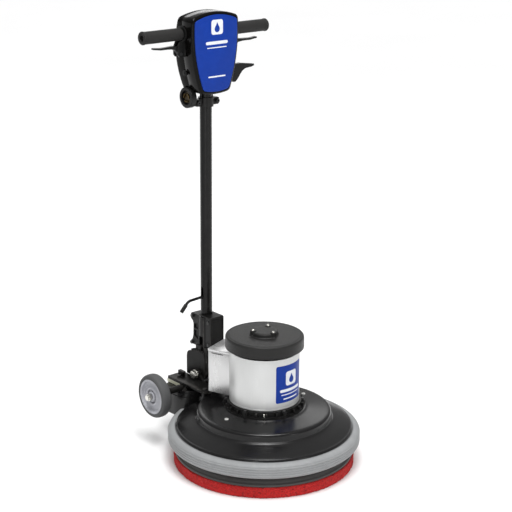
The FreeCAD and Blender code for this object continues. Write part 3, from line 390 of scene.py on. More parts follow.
def sections(rings, cap_start=True, cap_end=True):
    """Skin over a row of closed rings with the same number of points."""
    m = len(rings[0])
    verts = [point for ring in rings for point in ring]
    faces = []
    for i in range(len(rings) - 1):
        for k in range(m):
            after = (k + 1) % m
            faces.append((i * m + k, i * m + after, (i + 1) * m + after, (i + 1) * m + k))
    if cap_start:
        faces.append(tuple(range(m - 1, -1, -1)))
    if cap_end:
        faces.append(tuple((len(rings) - 1) * m + k for k in range(m)))
    return verts, faces


def rim_steps(low, high, edge):
    """(inset, z) steps of a slab's sides, with softened rims."""
    return ((edge, low), (0.3 * edge, low + 0.3 * edge), (0, low + edge), (0, high - edge),
            (0.3 * edge, high - 0.3 * edge), (edge, high))


def rounded_rect(w, h, r, n=6):
    """Corner-rounded rectangle about the origin, as (a, b) points."""
    return soften([(-w, -h, r), (w, -h, r), (w, h, r), (-w, h, r)], True, n)


def slab(w, h, r, low, high, edge):
    """Rounded rectangle with softened rims, standing from low to high on Z."""
    rings = []
    for inset, z in rim_steps(low, high, edge):
        rings.append([(a, b, z) for a, b in rounded_rect(w - inset, h - inset, max(r - inset, 0.4))])
    return sections(rings)


def patch(half_w, upper, lower, place, columns=40, rows=3):
    """Thin decal: columns across, from lower(u) to upper(u), put in space by place(u, v)."""
    verts, faces = [], []
    for i in range(columns + 1):
        u = -half_w + 2 * half_w * i / columns
        for k in range(rows + 1):
            v = lower(u) + (upper(u) - lower(u)) * k / rows
            verts.append(place(u, v))
    for i in range(columns):
        for k in range(rows):
            a = i * (rows + 1) + k
            faces.append((a, a + rows + 1, a + rows + 2, a + 1))
    return verts, faces


def rounded_patch(w, h, r, place, centre, columns=48, rows=3):
    """Decal with round corners, 2w by 2h about a centre."""
    def top(u):
        over = abs(u) - (w - r)
        return h if over <= 0 else h - r + math.sqrt(max(r * r - over * over, 0.0))

    cu, cv = centre
    return patch(w, top, lambda u: -top(u), lambda u, v: place(u + cu, v + cv), columns, rows)


def soft_edges(obj, bevel, segments=2, angle=35.0):
    """Welded seams, small rounded edges and even shading, as modifiers."""
    weld = obj.modifiers.new("weld", "WELD")
    weld.merge_threshold = 0.02 * MM
    if bevel:
        soft = obj.modifiers.new("edges", "BEVEL")
        soft.width = bevel * MM
        soft.segments = segments
        soft.limit_method = "ANGLE"
        soft.angle_limit = math.radians(angle)
        soft.harden_normals = True
        soft.use_clamp_overlap = True
        even = obj.modifiers.new("normals", "WEIGHTED_NORMAL")
        even.keep_sharp = True


def dress(node, bevel):
    """Material and softened edges on a CAD node that is shown as it is."""
    obj = frame["nodes"][node]
    obj.data.materials.clear()
    obj.data.materials.append(MAT[SLOT[node]])
    obj.data.polygons.foreach_set("use_smooth", [True] * len(obj.data.polygons))
    soft_edges(obj, bevel)


# ---- pad, driver and bumper ---------------------------------------------------------------

def floor_pad():
    """Non-woven pad: a disc with an uneven rim, and loose fibres round it."""
    hi = span("floor_pad")[1]
    r, top = hi.x, hi.z
    outline = soften([(0, 0, 0), (r, 0, 5), (r, top, 5), (0, top, 0)], n=6)
    side = [(r, 5 + (top - 10) * i / 7) for i in range(1, 7)]
    rim = [p for p in outline if p[0] > r - 5.5]
    inner_low = [(0.5, 0), (r * 0.5, 0), (r - 12, 0)]
    inner_high = [(r - 12, top), (r * 0.5, top), (0.5, top)]
    verts, faces = lathe(inner_low + rim[:7] + side + rim[7:] + inner_high, n=720)
    verts = [uneven(v, r, top) for v in verts]
    rng = random.Random(7)
    for _ in range(STRANDS):
        strand(rng, r, top, verts, faces)
    pad = for_node("floor_pad_fibre", verts, faces, "floor_pad")


def uneven(point, r, top):
    """Moves a point of the pad's rim: in or out by up to 2.6 mm, and up or down by about 1 mm."""
    x, y, z = point
    reach = math.hypot(x, y)
    if reach <= r - 6:
        return point
    lump = noise.noise(Vector(point) * 0.14) * 1.6 + noise.noise(Vector(point) * 0.45) * 1.1
    grow = (reach + lump - 0.8) / reach
    x, y = x * grow, y * grow
    z += noise.noise(Vector((x, y, z)) * 0.2 + Vector((9, 4, 2))) * 1.3
    return x, y, min(max(z, 0.0), top)


def strand(rng, r, top, verts, faces):
    """Adds one flat curved fibre that stands off the pad's rim."""
    angle = rng.uniform(0, 2 * math.pi)
    z = rng.uniform(1.2, top - 1.0)
    turn, rise, out = rng.uniform(-1, 1), rng.uniform(-1, 1) * 0.7, rng.uniform(0.3, 1.0)
    length, wide = rng.uniform(2.0, 5.0), rng.uniform(0.18, 0.34)
    base = len(verts)
    for k in range(4):
        t = k / 3
        bulge = math.sin(t * math.pi * 0.8) * out * 1.5
        a = angle + turn * length * t / r
        height = min(max(z + rise * length * t, 0.3), top - 0.2)
        for s in (-0.5, 0.5):
            reach = r - 0.9 + bulge + s * wide * 0.4
            verts.append((reach * math.cos(a), reach * math.sin(a), height + s * wide))
    faces.extend((base + 2 * k, base + 2 * k + 1, base + 2 * k + 3, base + 2 * k + 2) for k in range(3))


def pad_driver():
    """Grey disc over the pad, with a lip at its rim and a stepped shoulder."""
    lo, hi = span("pad_driver")
    r, z0, z1 = hi.x, lo.z, hi.z
    outline = soften([(47, z0, 0), (r - 1, z0, 0.8), (r, z0 + 1.5, 1), (r - 0.6, z0 + 6.5, 1.5),
                      (r - 4.5, z0 + 9.5, 2), (r - 7, z0 + 15, 3), (r - 12, z0 + 20, 3),
                      (r - 20, z1, 3), (60, z1, 1), (47, z1, 0)])
    for_node("pad_driver_block", *lathe(outline, n=256), "pad_driver")


def bumper():
    """Ribbed bumper with rounded ends either side of the neck."""
    lo, hi = span("bumper")
    r, z0, z1 = hi.x, lo.z, hi.z
    rim = [(r - 20.3, z0, 0), (r - 7, z0, 3), (r - 1.5, z0 + 5, 3)]
    ribs = 4
    pitch = (z1 - z0 - 15) / ribs
    for i in range(ribs):
        z = z0 + 6 + pitch * i
        rim += [(r - 1.3, z, 0.2), (r - 0.3, z + 1.3, 0.6), (r, z + pitch * 0.5, 2.0),
                (r - 0.3, z + pitch - 1.3, 0.6)]
    rim += [(r - 2.2, z1 - 9, 0.3), (r - 1.6, z1 - 7.6, 0.6), (r - 6, z1 - 2.6, 4), (r - 13, z1, 3),
            (r - 20.3, z1, 0)]
    outline = soften(rim, n=3)
    steps = 300
    first, last = -90 + BUMPER_GAP, 270 - BUMPER_GAP
    verts, faces = lathe(outline, n=steps, start=first, end=last)
    m = len(outline)
    mid_r, mid_z = r - 11, (z0 + z1) / 2
    for before, angle, sign in ((0, first, -1), (steps * m, last, 1)):
        for shrink, push in ((0.985, 0.4), (0.95, 0.75), (0.88, 1.0)):
            base = len(verts)
            a = math.radians(angle + sign * push * 0.9)
            for reach, z in outline:
                q = mid_r + (reach - mid_r) * shrink
                verts.append((q * math.cos(a), q * math.sin(a), mid_z + (z - mid_z) * shrink))
            for k in range(m):
                after = (k + 1) % m
                faces.append((before + k, before + after, base + after, base + k))
            before = base
        faces.append(tuple(before + k for k in range(m)))
    for_node("bumper_ring", verts, faces, "bumper")


# ---- deck and motor -----------------------------------------------------------------------

def deck():
    """Round casting from the crown to the rim, with its inside, and the neck behind it."""
    lo, hi = span("deck")
    r, z0, top = hi.x, lo.z, span("end_bell")[0].z
    outside = [
        (93.5, top, 0), (112, top, 1), (116, top - 0.6, 2), (124, top - 3.5, 4), (150, top - 7.5, 12),
        (178, top - 10.8, 5), (185, top - 12.8, 3.2), (188, top - 17.5, 3.0), (188.2, top - 21.5, 0),
        (188.8, top - 31.0, 0), (189.0, top - 33.5, 1.0),
        (191.4, top - 34.6, 0.9), (193.4, top - 37.2, 2.0), (200, top - 40.0, 4), (222, top - 47.5, 14),
        (240, top - 54.5, 4), (243, top - 56.2, 1), (245.5, top - 56.4, 1), (r - 1.0, top - 60, 1.6),
        (r, top - 64, 1), (r, z0, 0.8)]
    inside = [(r - 5, z0, 0.8), (r - 6, 99, 2), (r - 15, 106, 4), (218, 114, 4), (190, 122.5, 4),
              (183, 128, 3), (181, 145, 3), (150, 153.5, 3), (115, 160, 2), (93.5, 160, 0)]
    outline = soften(outside + inside, n=5)
    for_node("deck_casting", *lathe(outline, n=256), "deck")
    neck = piece("deck_neck", *neck_faces(outline), MAT["deck_black"], "base", "deck_black")
    soft_edges(neck, 1.2, 3, 30)


def neck_faces(outline):
    """The rear neck of the deck, taken from the CAD part: what stands outside the round casting."""
    def radius(z):
        reach = [a[0] + (b[0] - a[0]) * (z - a[1]) / (b[1] - a[1])
                 for a, b in zip(outline, outline[1:])
                 if min(a[1], b[1]) <= z <= max(a[1], b[1]) and abs(a[1] - b[1]) > 1e-6]
        return max(reach, default=0.0)

    mesh = frame["nodes"]["deck"].data
    index, verts, faces = {}, [], []
    for poly in mesh.polygons:
        c = poly.center / MM
        if c.y > -140 or math.hypot(c.x, c.y) < radius(c.z) + 0.6:
            continue
        face = []
        for i in poly.vertices:
            key = tuple(round(v / MM, 3) for v in mesh.vertices[i].co)
            if key not in index:
                index[key] = len(verts)
                verts.append(key)
            face.append(index[key])
        if len(set(face)) == len(face):
            faces.append(tuple(face))
    return verts, faces


def deck_plugs():
    """Pale ring-headed plugs, with a near-black disc in each ring's hole as painted shade."""
    lo, hi = span("deck_plugs")
    x, y, top = (hi.x - lo.x) / 2 - 5.4, (lo.y + hi.y) / 2, hi.z
    ring = soften([(3.1, top - 2.5, 0), (3.1, top - 0.6, 0.4), (3.6, top, 0.5), (5.0, top - 0.3, 0.8),
                   (5.5, top - 1.8, 0.5), (5.5, top - 3.5, 0)], n=4)
    hole_shade = soften([(0.05, top - 1.0, 0), (2.2, top - 1.1, 0.4), (3.2, top - 1.8, 0)], n=3)
    rings, hole_shades = [], []
    for side in (-1, 1):
        place = Matrix.Translation((side * x, y, 0))
        rings.append(moved(lathe(ring, 48), place))
        hole_shades.append(moved(lathe(hole_shade, 32, closed=False), place))
    for_node("deck_plug_rings", *joined(*rings), "deck_plugs")
    piece("deck_plug_hole_shades", *joined(*hole_shades), PLUG_HOLE_SHADE, "base", "plug_white")


def motor_shell():
    """Bright can with a shallow rolled line near its foot."""
    lo, hi = span("motor_shell")
    r, z0, z1 = hi.x, lo.z, hi.z
    outline = soften([(r - 2.5, z0, 0), (r - 0.6, z0, 0.5), (r, z0 + 1, 0.5), (r, z0 + 5, 0.3),
                      (r - 0.35, z0 + 6, 0.3), (r - 0.35, z0 + 7.2, 0.3), (r, z0 + 8, 0.3),
                      (r, z1 - 0.6, 0.4), (r - 0.6, z1, 0.4), (r - 2.5, z1, 0)], n=3)
    for_node("motor_can", *lathe(outline, n=256), "motor_shell")


def at_cap_ears(shape):
    """A shape repeated at the cap's three screw ears."""
    copies = []
    for i in range(3):
        a = math.radians(CAP_EAR_TURN + 120 * i)
        place = Matrix.Translation((CAP_EAR_R * math.cos(a), CAP_EAR_R * math.sin(a), 0))
        copies.append(moved(shape, place))
    return joined(*copies)


def motor_cap():
    """Cap with a groove near its rim, a low hub and three screw ears."""
    hi = span("motor_cap")[1]
    r, top = hi.x, hi.z - CAP_EAR_H
    low = top - CAP_SIDE_H
    outline = soften([(0.1, top, 0), (r - 10.5, top, 1), (r - 9.6, top - 0.9, 0.5),
                      (r - 8.8, top - 0.9, 0.5), (r - 7.6, top - 0.1, 1.4), (r - 1.6, top - 1.2, 3.4),
                      (r - 0.3, top - 7, 3.4), (r - 0.25, top - 11, 0), (r - 0.05, low + 4.5, 0),
                      (r, low + 1.5, 1.2), (r - 1.2, low, 0.8),
                      (r - 3.4, low, 0.6), (r - 4, low + 1, 0), (r - 4, top - 6, 0),
                      (0.1, top - 6, 0)], n=6)
    shell = lathe(outline, n=200, closed=False)
    hub_z = hi.z - 2
    hub = lathe(soften([(0.1, hub_z, 0), (31, hub_z, 3), (36.3, hub_z - 2.2, 3),
                        (37.2, top + 1.5, 2), (39.5, top - 0.2, 0)], n=5), 96, closed=False)
    ear = lathe(soften([(2.2, hi.z - 2.2, 0), (4.8, hi.z - 2.2, 0.3), (5.0, hi.z - 0.1, 0.4),
                        (7.6, hi.z - 0.1, 1.0), (8.4, hi.z - 1.6, 1.0), (9.0, top + 2, 1.5),
                        (11, top - 0.2, 0)], n=4), 40, closed=False)
    for_node("motor_cap_cover", *joined(shell, hub, at_cap_ears(ear)), "motor_cap")


def cap_screws():
    """Domed screw heads with a small socket."""
    z = span("cap_screws")[1].z
    head = lathe(soften([(0.9, z - 1.0, 0), (1.5, z - 0.2, 0.2), (2.6, z, 0.4), (4.2, z - 1.0, 0.6),
                         (4.5, z - 2.4, 0.1)], n=4), 32, closed=False)
    pit = lathe([(0.02, z - 1.9), (0.7, z - 1.6), (0.9, z - 1.0)], 12, closed=False)
    for_node("cap_screw_heads", *at_cap_ears(joined(head, pit)), "cap_screws")


def capacitor_box():
    """Folded box with a lid that stands a little proud over a thin shadow gap."""
    lo, hi = span("capacitor_box")
    middle, half = (BOX_BACK + BOX_FRONT) / 2, (BOX_FRONT - BOX_BACK) / 2

    def block(low, high, grow, edge):
        rings = []
        for inset, z in rim_steps(low, high, edge):
            ring = rounded_rect(BOX_W + grow - inset, half + grow - inset, 5.0, 6)
            rings.append([(a, b + middle, z) for a, b in ring])
        return sections(rings)

    body = block(lo.z, hi.z - 7.5, 0.0, 1.2)
    gap = block(hi.z - 9.0, hi.z - 6.0, -1.0, 0.2)
    lid = block(hi.z - 7.0, hi.z, 1.0, 1.2)
    turn = Matrix.Rotation(math.radians(BOX_TURN), 4, "Z")
    for_node("capacitor_housing", *moved(joined(body, gap, lid), turn), "capacitor_box")


def box_slot_shades():
    """Dark bars on each side under the lid: painted shade where the slots are."""
    z = span("capacitor_box")[1].z - 11
    turn = Matrix.Rotation(math.radians(BOX_TURN), 4, "Z")
    lengthwise = Matrix.Rotation(math.radians(90), 4, "Z")
    bars = []
    for side in (-1, 1):
        facing = Matrix.Rotation(math.radians(90 * side), 4, "Y")
        place = Matrix.Translation((side * (BOX_W - 0.6), BOX_SLOT_Y, z)) @ facing @ lengthwise
        bars.append(moved(slab(19, 1.1, 1.0, 0, 1.0, 0.2), place))
    piece("box_lid_slot_shades", *moved(joined(*bars), turn), MAT["can_plastic"], "base", "can_plastic")


# ---- wheels ---------------------------------------------------------------------------------

def wheel(side):
    """Tyre with round shoulders, and a dished hub with a raised boss."""
    lo, hi = span("tyre_" + side)
    cy, cz, r = (lo.y + hi.y) / 2, (lo.z + hi.z) / 2, (hi.z - lo.z) / 2
    cx, half = (lo.x + hi.x) / 2, (hi.x - lo.x) / 2
    place = upright_to((math.copysign(1, cx), 0, 0), (cx, cy, cz))
    tread = [(51.2, -half + 0.6, 0), (53, -half, 0.6), (57, -half + 0.3, 1), (61.2, -half + 3, 4),
             (r, -half + 9, 4), (r, half - 9, 4), (61.2, half - 3, 4), (57, half - 0.3, 1),
             (56.2, half - 0.9, 0.3), (55.4, half - 0.3, 0.3), (53, half, 0.6), (51.2, half - 0.6, 0)]
    for_node("tyre_%s_ring" % side, *moved(lathe(soften(tread), 160), place), "tyre_" + side)
    rim = [(51.0, half - 1.2, 0), (49.6, half - 0.4, 0.6), (46.5, half - 0.4, 0.8),
           (44.6, half - 2.5, 1), (43.4, half - 8.5, 2), (40, half - 10.5, 2)]
    web = [(31, half - 9.0, 3), (26.5, half - 5.2, 2), (24.2, half - 3.2, 1), (21.5, half - 3.4, 1),
           (20.2, half - 6, 1), (19.4, half - 11, 1), (15.5, half - 12, 0.6)]
    boss = [(14.8, half - 2.5, 0.8), (12.5, half - 1.2, 0.6), (8.2, half - 1.2, 0.5),
            (6.45, half - 2.2, 0)]
    back = [(6.45, 0.5 - half, 0), (16.5, 0.5 - half, 0.8), (17, -6, 1), (43, -6, 2),
            (44, -half + 2, 1), (46.5, -half + 0.5, 0.8), (51, -half + 1.2, 0)]
    profile = soften(rim + web + boss + back, n=4)
    for_node("hub_%s_disc" % side, *moved(lathe(profile, 128), place), "wheel_hub_" + side)


# ---- head -----------------------------------------------------------------------------------

def arc3(a, m, b, t):
    """Point at share t along the circular arc from a to b through m."""
    (ax, ay), (mx, my), (bx, by) = a, m, b
    d = 2 * (ax * (my - by) + mx * (by - ay) + bx * (ay - my))
    ux = ((ax * ax + ay * ay) * (my - by) + (mx * mx + my * my) * (by - ay)
          + (bx * bx + by * by) * (ay - my)) / d
    uy = ((ax * ax + ay * ay) * (bx - mx) + (mx * mx + my * my) * (ax - bx)
          + (bx * bx + by * by) * (mx - ax)) / d
    r = math.hypot(ax - ux, ay - uy)
    start = math.atan2(ay - uy, ax - ux)
    mid = (math.atan2(my - uy, mx - ux) - start) % (2 * math.pi)
    sweep = (math.atan2(by - uy, bx - ux) - start) % (2 * math.pi)
    if mid > sweep:
        sweep -= 2 * math.pi
    angle = start + sweep * t
    return ux + r * math.cos(angle), uy + r * math.sin(angle)


HEAD_LO, HEAD_HI = span("head_front")
HEAD_SIDE = HEAD_HI.x - HEAD_EDGE
HEAD_TOP = HEAD_HI.z - HEAD_EDGE
HEAD_SPLIT = HEAD_LO.y
HEAD_FACE = HEAD_HI.y


def head_ring(grow, corner=HEAD_CORNER):
    """(x, z) outline of the head's front view, grown outwards, with rounded corners."""
    side, top = HEAD_SIDE + grow, HEAD_TOP - HEAD_DROP + grow
    low, foot = HEAD_FOOT + grow, HEAD_TOP - HEAD_H - grow
    bulge, middle = HEAD_SIDE - 1 + grow, HEAD_TOP - HEAD_WIDEST
    tl, tr, fr, fl = (-side, top), (side, top), (low, foot), (-low, foot)
    arcs = [(tl, (0, HEAD_TOP + grow), tr, 40), (tr, (bulge, middle), fr, 40),
            (fr, (0, foot - 5.5), fl, 24), (fl, (-bulge, middle), tl, 40)]

    def share(arc):
        """Share of an arc that its rounded corner takes."""
        return min(corner / math.hypot(arc[2][0] - arc[0][0], arc[2][1] - arc[0][1]), 0.3)

    out = []
    for i, arc in enumerate(arcs):
        a, m, b, n = arc
        t0 = share(arc)
        out += [arc3(a, m, b, t0 + (1 - 2 * t0) * k / n) for k in range(n + 1)]
        after = arcs[(i + 1) % 4]
        start, end = Vector(out[-1]), Vector(arc3(*after[:3], share(after)))
        out += [tuple(curve(start, Vector(b), end, k / 6)) for k in range(1, 6)]
    return out


def head_level(grow, y, corner=HEAD_CORNER):
    """The head's outline as a ring at a depth."""
    return [(x, y, z) for x, z in head_ring(grow, corner)]


def head_back(z):
    """Depth of the head's bowed back at a height."""
    lo, mid, hi = (-284.0, 980.0), (-297.0, 1100.0), (-268.0, 1260.0)
    low, high = 0.0, 1.0
    for _ in range(24):
        t = (low + high) / 2
        if arc3(lo, mid, hi, t)[1] < z:
            low = t
        else:
            high = t
    return arc3(lo, mid, hi, low)[0]


def head_shells():
    """Front and rear halves of the casing, with a fine groove where they meet."""
    rings = []
    for grow, y in ((-3.0, HEAD_FACE - 2.2), (-0.3, HEAD_FACE - 2.2), (-0.1, HEAD_FACE - 0.5),
                    (0.4, HEAD_FACE)):
        rings.append(head_level(grow, y, PANEL_CORNER))
    for i in range(1, 8):
        a = math.radians(90 * i / 7)
        grow, y = -0.5 + 8 * math.sin(a), HEAD_FACE - 8 + 8 * math.cos(a)
        rings.append(head_level(grow, y, PANEL_CORNER + i * 0.4))
    for grow, y in ((HEAD_EDGE, HEAD_FACE - 22), (HEAD_EDGE, HEAD_SPLIT + 1.0),
                    (HEAD_EDGE - 0.4, HEAD_SPLIT + 0.4), (HEAD_EDGE - 2.5, HEAD_SPLIT + 0.3)):
        rings.append(head_level(grow, y))
    for_node("head_front_shell", *sections(rings, False, False), "head_front")

    rings = []
    for grow, y in ((HEAD_EDGE - 2.5, HEAD_SPLIT - 0.3), (HEAD_EDGE - 0.4, HEAD_SPLIT - 0.4),
                    (HEAD_EDGE, HEAD_SPLIT - 1.0)):
        rings.append(head_level(grow, y))
    for i in range(9):
        a = math.radians(90 * i / 8)
        ring = head_ring(-1.5 + 9 * math.cos(a))
        rings.append([(x, head_back(z) + 9 - 9 * math.sin(a), z) for x, z in ring])
    last = head_ring(-1.5)
    middle = HEAD_TOP - 100
    for s in (0.85, 0.65, 0.45, 0.25, 0.08):
        shrunk = [(x * s, middle + (z - middle) * s) for x, z in last]
        rings.append([(x, head_back(z), z) for x, z in shrunk])
    for_node("head_rear_shell", *sections(rings, False, True), "head_rear")


def head_panel():
    """Blue front panel with a soft rim."""
    lo, hi = span("head_panel")
    rings = []
    for grow, y in ((-0.6, lo.y), (-0.6, hi.y - 1.4), (-0.8, hi.y - 0.7), (-1.3, hi.y - 0.2),
                    (-2.2, hi.y)):
        rings.append(head_level(grow, y, PANEL_CORNER))
    for_node("head_face_panel", *sections(rings, False, True), "head_panel")


def flat_on_head(u, v):
    """Place on the head's face: u to the viewer's right, v up."""
    return (-u, span("head_panel")[1].y + DECAL_LIFT, v)


def drop(w, place, cu, cv):
    """Generic water drop."""
    def top(u):
        k = abs(u) / w
        return -0.35 * w + math.sqrt(max(1 - k * k, 0)) * w + (1 - k) ** 2.2 * w * 1.1

    def low(u):
        return -0.35 * w - math.sqrt(max(1 - (u / w) ** 2, 0)) * w

    return patch(w, top, low, lambda u, v: place(u + cu, v + cv), 36, 3)


def head_marks():
    """Plain generic mark on the head's panel: a rounded square with a water drop, and bars."""
    def raised(u, v):
        x, y, z = flat_on_head(u, v)
        return (x, y + DECAL_LIFT, z)

    badge = rounded_patch(20, 20, 7, flat_on_head, (2, 1195))
    bars = [rounded_patch(w, h, h * 0.9, flat_on_head, (1, v))
            for w, h, v in ((38, 4.2, 1153), (34, 1.3, 1140), (30, 1.9, 1061))]
    piece("head_mark", *joined(badge, *bars), PRINT, "handle", "panel_blue")
    piece("head_mark_drop", *drop(9, raised, 2, 1193), MAT["panel_blue"], "handle", "panel_blue")


def motor_marks():
    """Blue label round the motor, with the same generic mark."""
    r = span("motor_shell")[1].x

    def on_shell(lift):
        def place(u, v):
            a = math.radians(LABEL_TURN) + u / r
            return ((r + lift) * math.cos(a), (r + lift) * math.sin(a), v)
        return place

    label = rounded_patch(51, 54, 5, on_shell(0.25), (0, 258.5), 64, 6)
    piece("motor_label", *label, MAT["panel_blue"], "base", "panel_blue")
    badge = rounded_patch(20.5, 20.5, 7, on_shell(0.4), (0, 273))
    bars = [rounded_patch(w, h, h * 0.9, on_shell(0.4), (0, v))
            for w, h, v in ((39, 4.2, 239), (35, 1.3, 227), (28, 1.9, 215))]
    piece("motor_mark", *joined(badge, *bars), PRINT, "base", "panel_blue")
    piece("motor_mark_drop", *drop(9, on_shell(0.55), 0, 271), MAT["panel_blue"], "base", "panel_blue")


def grip(side):
    """Rubber sleeve with a flared outer end and a hollow tip."""
    lo, hi = span("grip_" + side)
    near, far = sorted((abs(lo.x), abs(hi.x)))
    r = (hi.z - lo.z) / 2 - 1
    profile = [(12.6, near, 0), (r - 2, near, 1.5), (r, near + 2.5, 1.5), (r, far - 9, 1),
               (r + 0.1, far - 7, 0.6), (r + 1, far - 6, 0.8), (r + 1, far - 2.4, 1.4),
               (r - 1.6, far, 1.6), (9.2, far, 0.8), (8.5, far - 1.4, 0.6), (8.5, far - 9, 0.5),
               (0.1, far - 9, 0)]
    sleeve = lathe(soften(profile), 96, closed=False)
    place = upright_to((math.copysign(1, lo.x), 0, 0), (0, (lo.y + hi.y) / 2, (lo.z + hi.z) / 2))
    for_node("grip_%s_sleeve" % side, *moved(sleeve, place), "grip_" + side)


# ---- small pieces -----------------------------------------------------------------------------

def rod_sleeve():
    """Ribbed end of the foot arm."""
    profile = [(0.05, -25.0, 0), (4.4, -25.0, 0.5), (5.5, -23.6, 0.6)]
    for i in range(9):
        z = -23 + 2.4 * i
        profile += [(5.7, z, 0.2), (5.7, z + 1.4, 0.2), (5.2, z + 1.7, 0.2), (5.2, z + 2.1, 0.2)]
    profile += [(5.6, -1.0, 0.5), (4.8, 1.2, 1.2), (0.05, 1.9, 0)]
    place = upright_to(Vector(ARM_WAY).normalized(), ARM_END)
    shape = moved(lathe(soften(profile, n=3), 40, closed=False), place)
    piece("foot_arm_sleeve", *shape, MAT["grip_black"], "release", "grip_black")


def label_strip():
    """Blank pale strip on the yoke's side."""
    x = span("yoke")[1].x - YOKE_FACE_IN
    strip = rounded_patch(31, 5.0, 1.2, lambda u, v: (x, u, v), (-306, 156), 20)
    piece("yoke_label_strip", *strip, STRIP, "base", "plate_black")


def socket_screws():
    """Three small round screw heads on the side of the socket."""
    head = lathe(soften([(0.02, 2.2, 0), (2.2, 1.9, 0.8), (3.4, 0.8, 0.8), (3.6, -1.0, 0)], n=4), 24,
                 closed=False)
    x = span("socket_right")[1].x
    heads = [moved(head, upright_to((1, 0, 0), (x, y, z)))
             for y, z in ((-252, 243), (-240, 236), (-236, 225))]
    piece("socket_small_screws", *joined(*heads), MAT["zinc"], "handle", "zinc")


def bell_pin():
    """Small bright pin that stands at the end bell's edge, under the motor shell."""
    lo, hi = span("end_bell")
    pin = lathe(soften([(0.05, 0, 0), (2.0, 0, 0.6), (2.2, 1, 0.6), (2.2, 11, 0.6), (0.05, 11.8, 0)],
                       n=3), 24, closed=False)
    reach, turn = hi.x * 0.985, math.radians(PIN_TURN)
    place = Matrix.Translation((reach * math.cos(turn), reach * math.sin(turn), lo.z + 4))
    piece("bell_pin", *moved(pin, place), MAT["zinc"], "base", "zinc")


def inlet_face():
    """Disc and rim inside the power inlet, round its blades."""
    lo, hi = span("power_inlet")
    disc = lathe(soften([(0.05, 0.6, 0), (14.5, 0.6, 0.4), (15.2, -0.4, 0.4), (19.6, -0.5, 0)], n=4),
                 72, closed=False)
    place = upright_to((1, 0, 0), (hi.x - INLET_FACE_IN, (lo.y + hi.y) / 2, (lo.z + hi.z) / 2))
    piece("inlet_inner_face", *moved(disc, place), INLET_FACE, "handle", "moulded_black")


# ---- build --------------------------------------------------------------------------------------

floor_pad()
pad_driver()
bumper()
deck()
deck_plugs()
motor_shell()
motor_cap()
cap_screws()
capacitor_box()
box_slot_shades()
wheel("right")
wheel("left")
head_shells()
head_panel()
grip("right")
grip("left")
rod_sleeve()
label_strip()
socket_screws()
bell_pin()
inlet_face()
head_marks()
motor_marks()

# width of the rounded edges on the CAD nodes that are shown as they are
BEVEL = 0.5
BEVELS = {
    "yoke": 1.0, "socket_right": 1.2, "socket_left": 1.2, "latch_cover": 1.2, "end_bell": 0.7,
    "switch_lever_right": 1.0, "switch_lever_left": 1.0, "tilt_lever": 1.4, "lever_brackets": 1.2,
    "head_collar": 1.2, "power_inlet": 0.8, "pawl": 0.8, "handle_tube": 0.3, "handlebar": 0.4,
    "release_rod": 0.3,
}
SEALED_IN = ("gear_case", "planet_gear_1", "planet_gear_2", "planet_gear_3", "ring_gear",
             "motor_shaft", "rotor", "stator", "cooling_fan", "bearings")
for node, obj in frame["nodes"].items():
    if not obj.hide_render:
        dress(node, 0.0 if node in SEALED_IN else BEVELS.get(node, BEVEL))
# the switch levers stand out a little past their CAD shape, in millimetres
LEVER_SWELL = 0.8
for node in ("switch_lever_right", "switch_lever_left"):
    plump = frame["nodes"][node].modifiers.new("plump", "DISPLACE")
    plump.strength = LEVER_SWELL * MM
    plump.mid_level = 0.0


# ---- floor, light and camera --------------------------------------------------------------------

def floor():
    """Wide pale floor with faint changes of tone."""
    g = Graph("floor_pale")
    tone = g.mix(g.ramp(g.noise(0.8, 3.0), 0.3, 0.7), (0.86, 0.86, 0.86), (0.88, 0.88, 0.88))
    g.done(tone, g.ramp(g.noise(30.0, 3.0), 0.3, 0.7, 0.7, 0.8), g.bump(g.noise(200.0), 0.02, 0.001))
    mesh = bpy.data.meshes.new("floor")
    s = 40.0
    mesh.from_pydata([(-s, -s, 0), (s, -s, 0), (s, s, 0), (-s, s, 0)], [], [(0, 1, 2, 3)])
    mesh.materials.append(g.material)
    obj = bpy.data.objects.new("floor", mesh)
    bpy.context.scene.collection.objects.link(obj)


def area(name, at, target, size, power):
    """Rectangular lamp aimed at a target. It lights and reflects, and the camera does not see it."""
    data = bpy.data.lights.new(name, "AREA")
    data.shape = "RECTANGLE"
    data.size, data.size_y = size
    data.energy = power
    obj = bpy.data.objects.new(name, data)
    obj.location = at
    obj.rotation_mode = "QUATERNION"
    obj.rotation_quaternion = (Vector(target) - Vector(at)).to_track_quat("-Z", "Y")
    obj.visible_camera = False
    bpy.context.scene.collection.objects.link(obj)


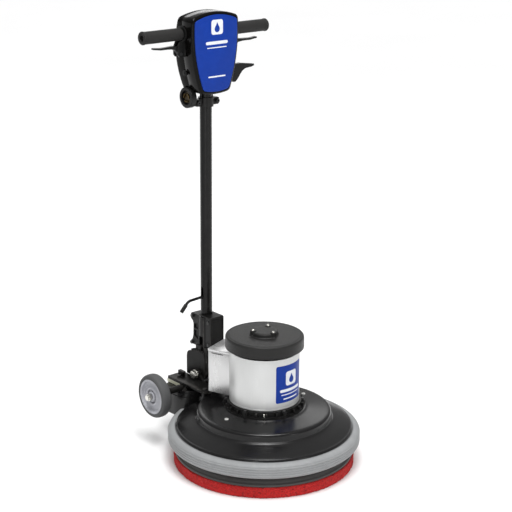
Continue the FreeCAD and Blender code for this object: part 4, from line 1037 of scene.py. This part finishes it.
def world():
    """Studio surround: dim near the floor line and brighter overhead, but plain white to the camera."""
    studio = bpy.data.worlds.new("studio")
    studio.use_nodes = True
    tree = studio.node_tree
    background = tree.nodes["Background"]
    place = tree.nodes.new("ShaderNodeTexCoord")
    split = tree.nodes.new("ShaderNodeSeparateXYZ")
    rise = tree.nodes.new("ShaderNodeMapRange")
    tree.links.new(place.outputs["Generated"], split.inputs[0])
    tree.links.new(split.outputs["Z"], rise.inputs["Value"])
    for name, value in (("From Min", 0.0), ("From Max", 1.0), ("To Min", 0.24), ("To Max", 0.62)):
        rise.inputs[name].default_value = value
    tree.links.new(rise.outputs["Result"], background.inputs["Strength"])
    background.inputs["Color"].default_value = (1.0, 1.0, 1.0, 1.0)
    wall = tree.nodes.new("ShaderNodeBackground")
    seen_directly = tree.nodes.new("ShaderNodeLightPath").outputs["Is Camera Ray"]
    pick = tree.nodes.new("ShaderNodeMixShader")
    tree.links.new(seen_directly, pick.inputs[0])
    tree.links.new(background.outputs[0], pick.inputs[1])
    tree.links.new(wall.outputs[0], pick.inputs[2])
    tree.links.new(pick.outputs[0], tree.nodes["World Output"].inputs["Surface"])
    wall.inputs["Color"].default_value = (1.0, 1.0, 1.0, 1.0)
    bpy.context.scene.world = studio


def sun(name, direction, strength, angle):
    """Sun lamp that shines along a direction."""
    data = bpy.data.lights.new(name, "SUN")
    data.energy = strength
    data.angle = math.radians(angle)
    obj = bpy.data.objects.new(name, data)
    obj.rotation_mode = "QUATERNION"
    obj.rotation_quaternion = Vector(direction).to_track_quat("-Z", "Y")
    bpy.context.scene.collection.objects.link(obj)


# place, direction, roll in degrees and lens in millimetres of the one view
CAMERA_AT = (2.4295, 2.7903, 1.7408)
CAMERA_AHEAD = (-0.6225, -0.725, -0.2949)
CAMERA_ROLL = 0.41
SENSOR = 36
LENS = 100.3971


def camera():
    """Camera at the viewing angle of the picture being matched."""
    ahead = Vector(CAMERA_AHEAD).normalized()
    right = ahead.cross(Vector((0, 0, 1))).normalized()
    up = right.cross(ahead)
    roll = math.radians(CAMERA_ROLL)
    tilted = right * math.cos(roll) + up * math.sin(roll)
    turn = Matrix((tilted, tilted.cross(ahead), -ahead)).transposed()
    data = bpy.data.cameras.new("camera")
    data.lens = LENS
    data.sensor_width = SENSOR
    data.clip_end = 200
    obj = bpy.data.objects.new("camera", data)
    obj.matrix_world = Matrix.Translation(CAMERA_AT) @ turn.to_4x4()
    bpy.context.scene.collection.objects.link(obj)
    bpy.context.scene.camera = obj


floor()
world()
sun("overhead", (-0.15, -0.25, -1.0), 2.3, 36)
area("top", (0.5, 0.7, 2.5), (0.0, 0.0, 0.3), (0.5, 0.8), 14)
area("kicker", (2.6, 2.1, 0.7), (0, -0.1, 0.9), (0.35, 1.0), 7)
area("side", (-0.4, 3.1, 0.9), (0, -0.2, 0.7), (0.3, 1.4), 6)
area("back", (-1.7, -2.0, 1.7), (0, 0, 0.2), (2.0, 0.9), 9)
camera()
bpy.context.scene.view_settings.view_transform = "Standard"
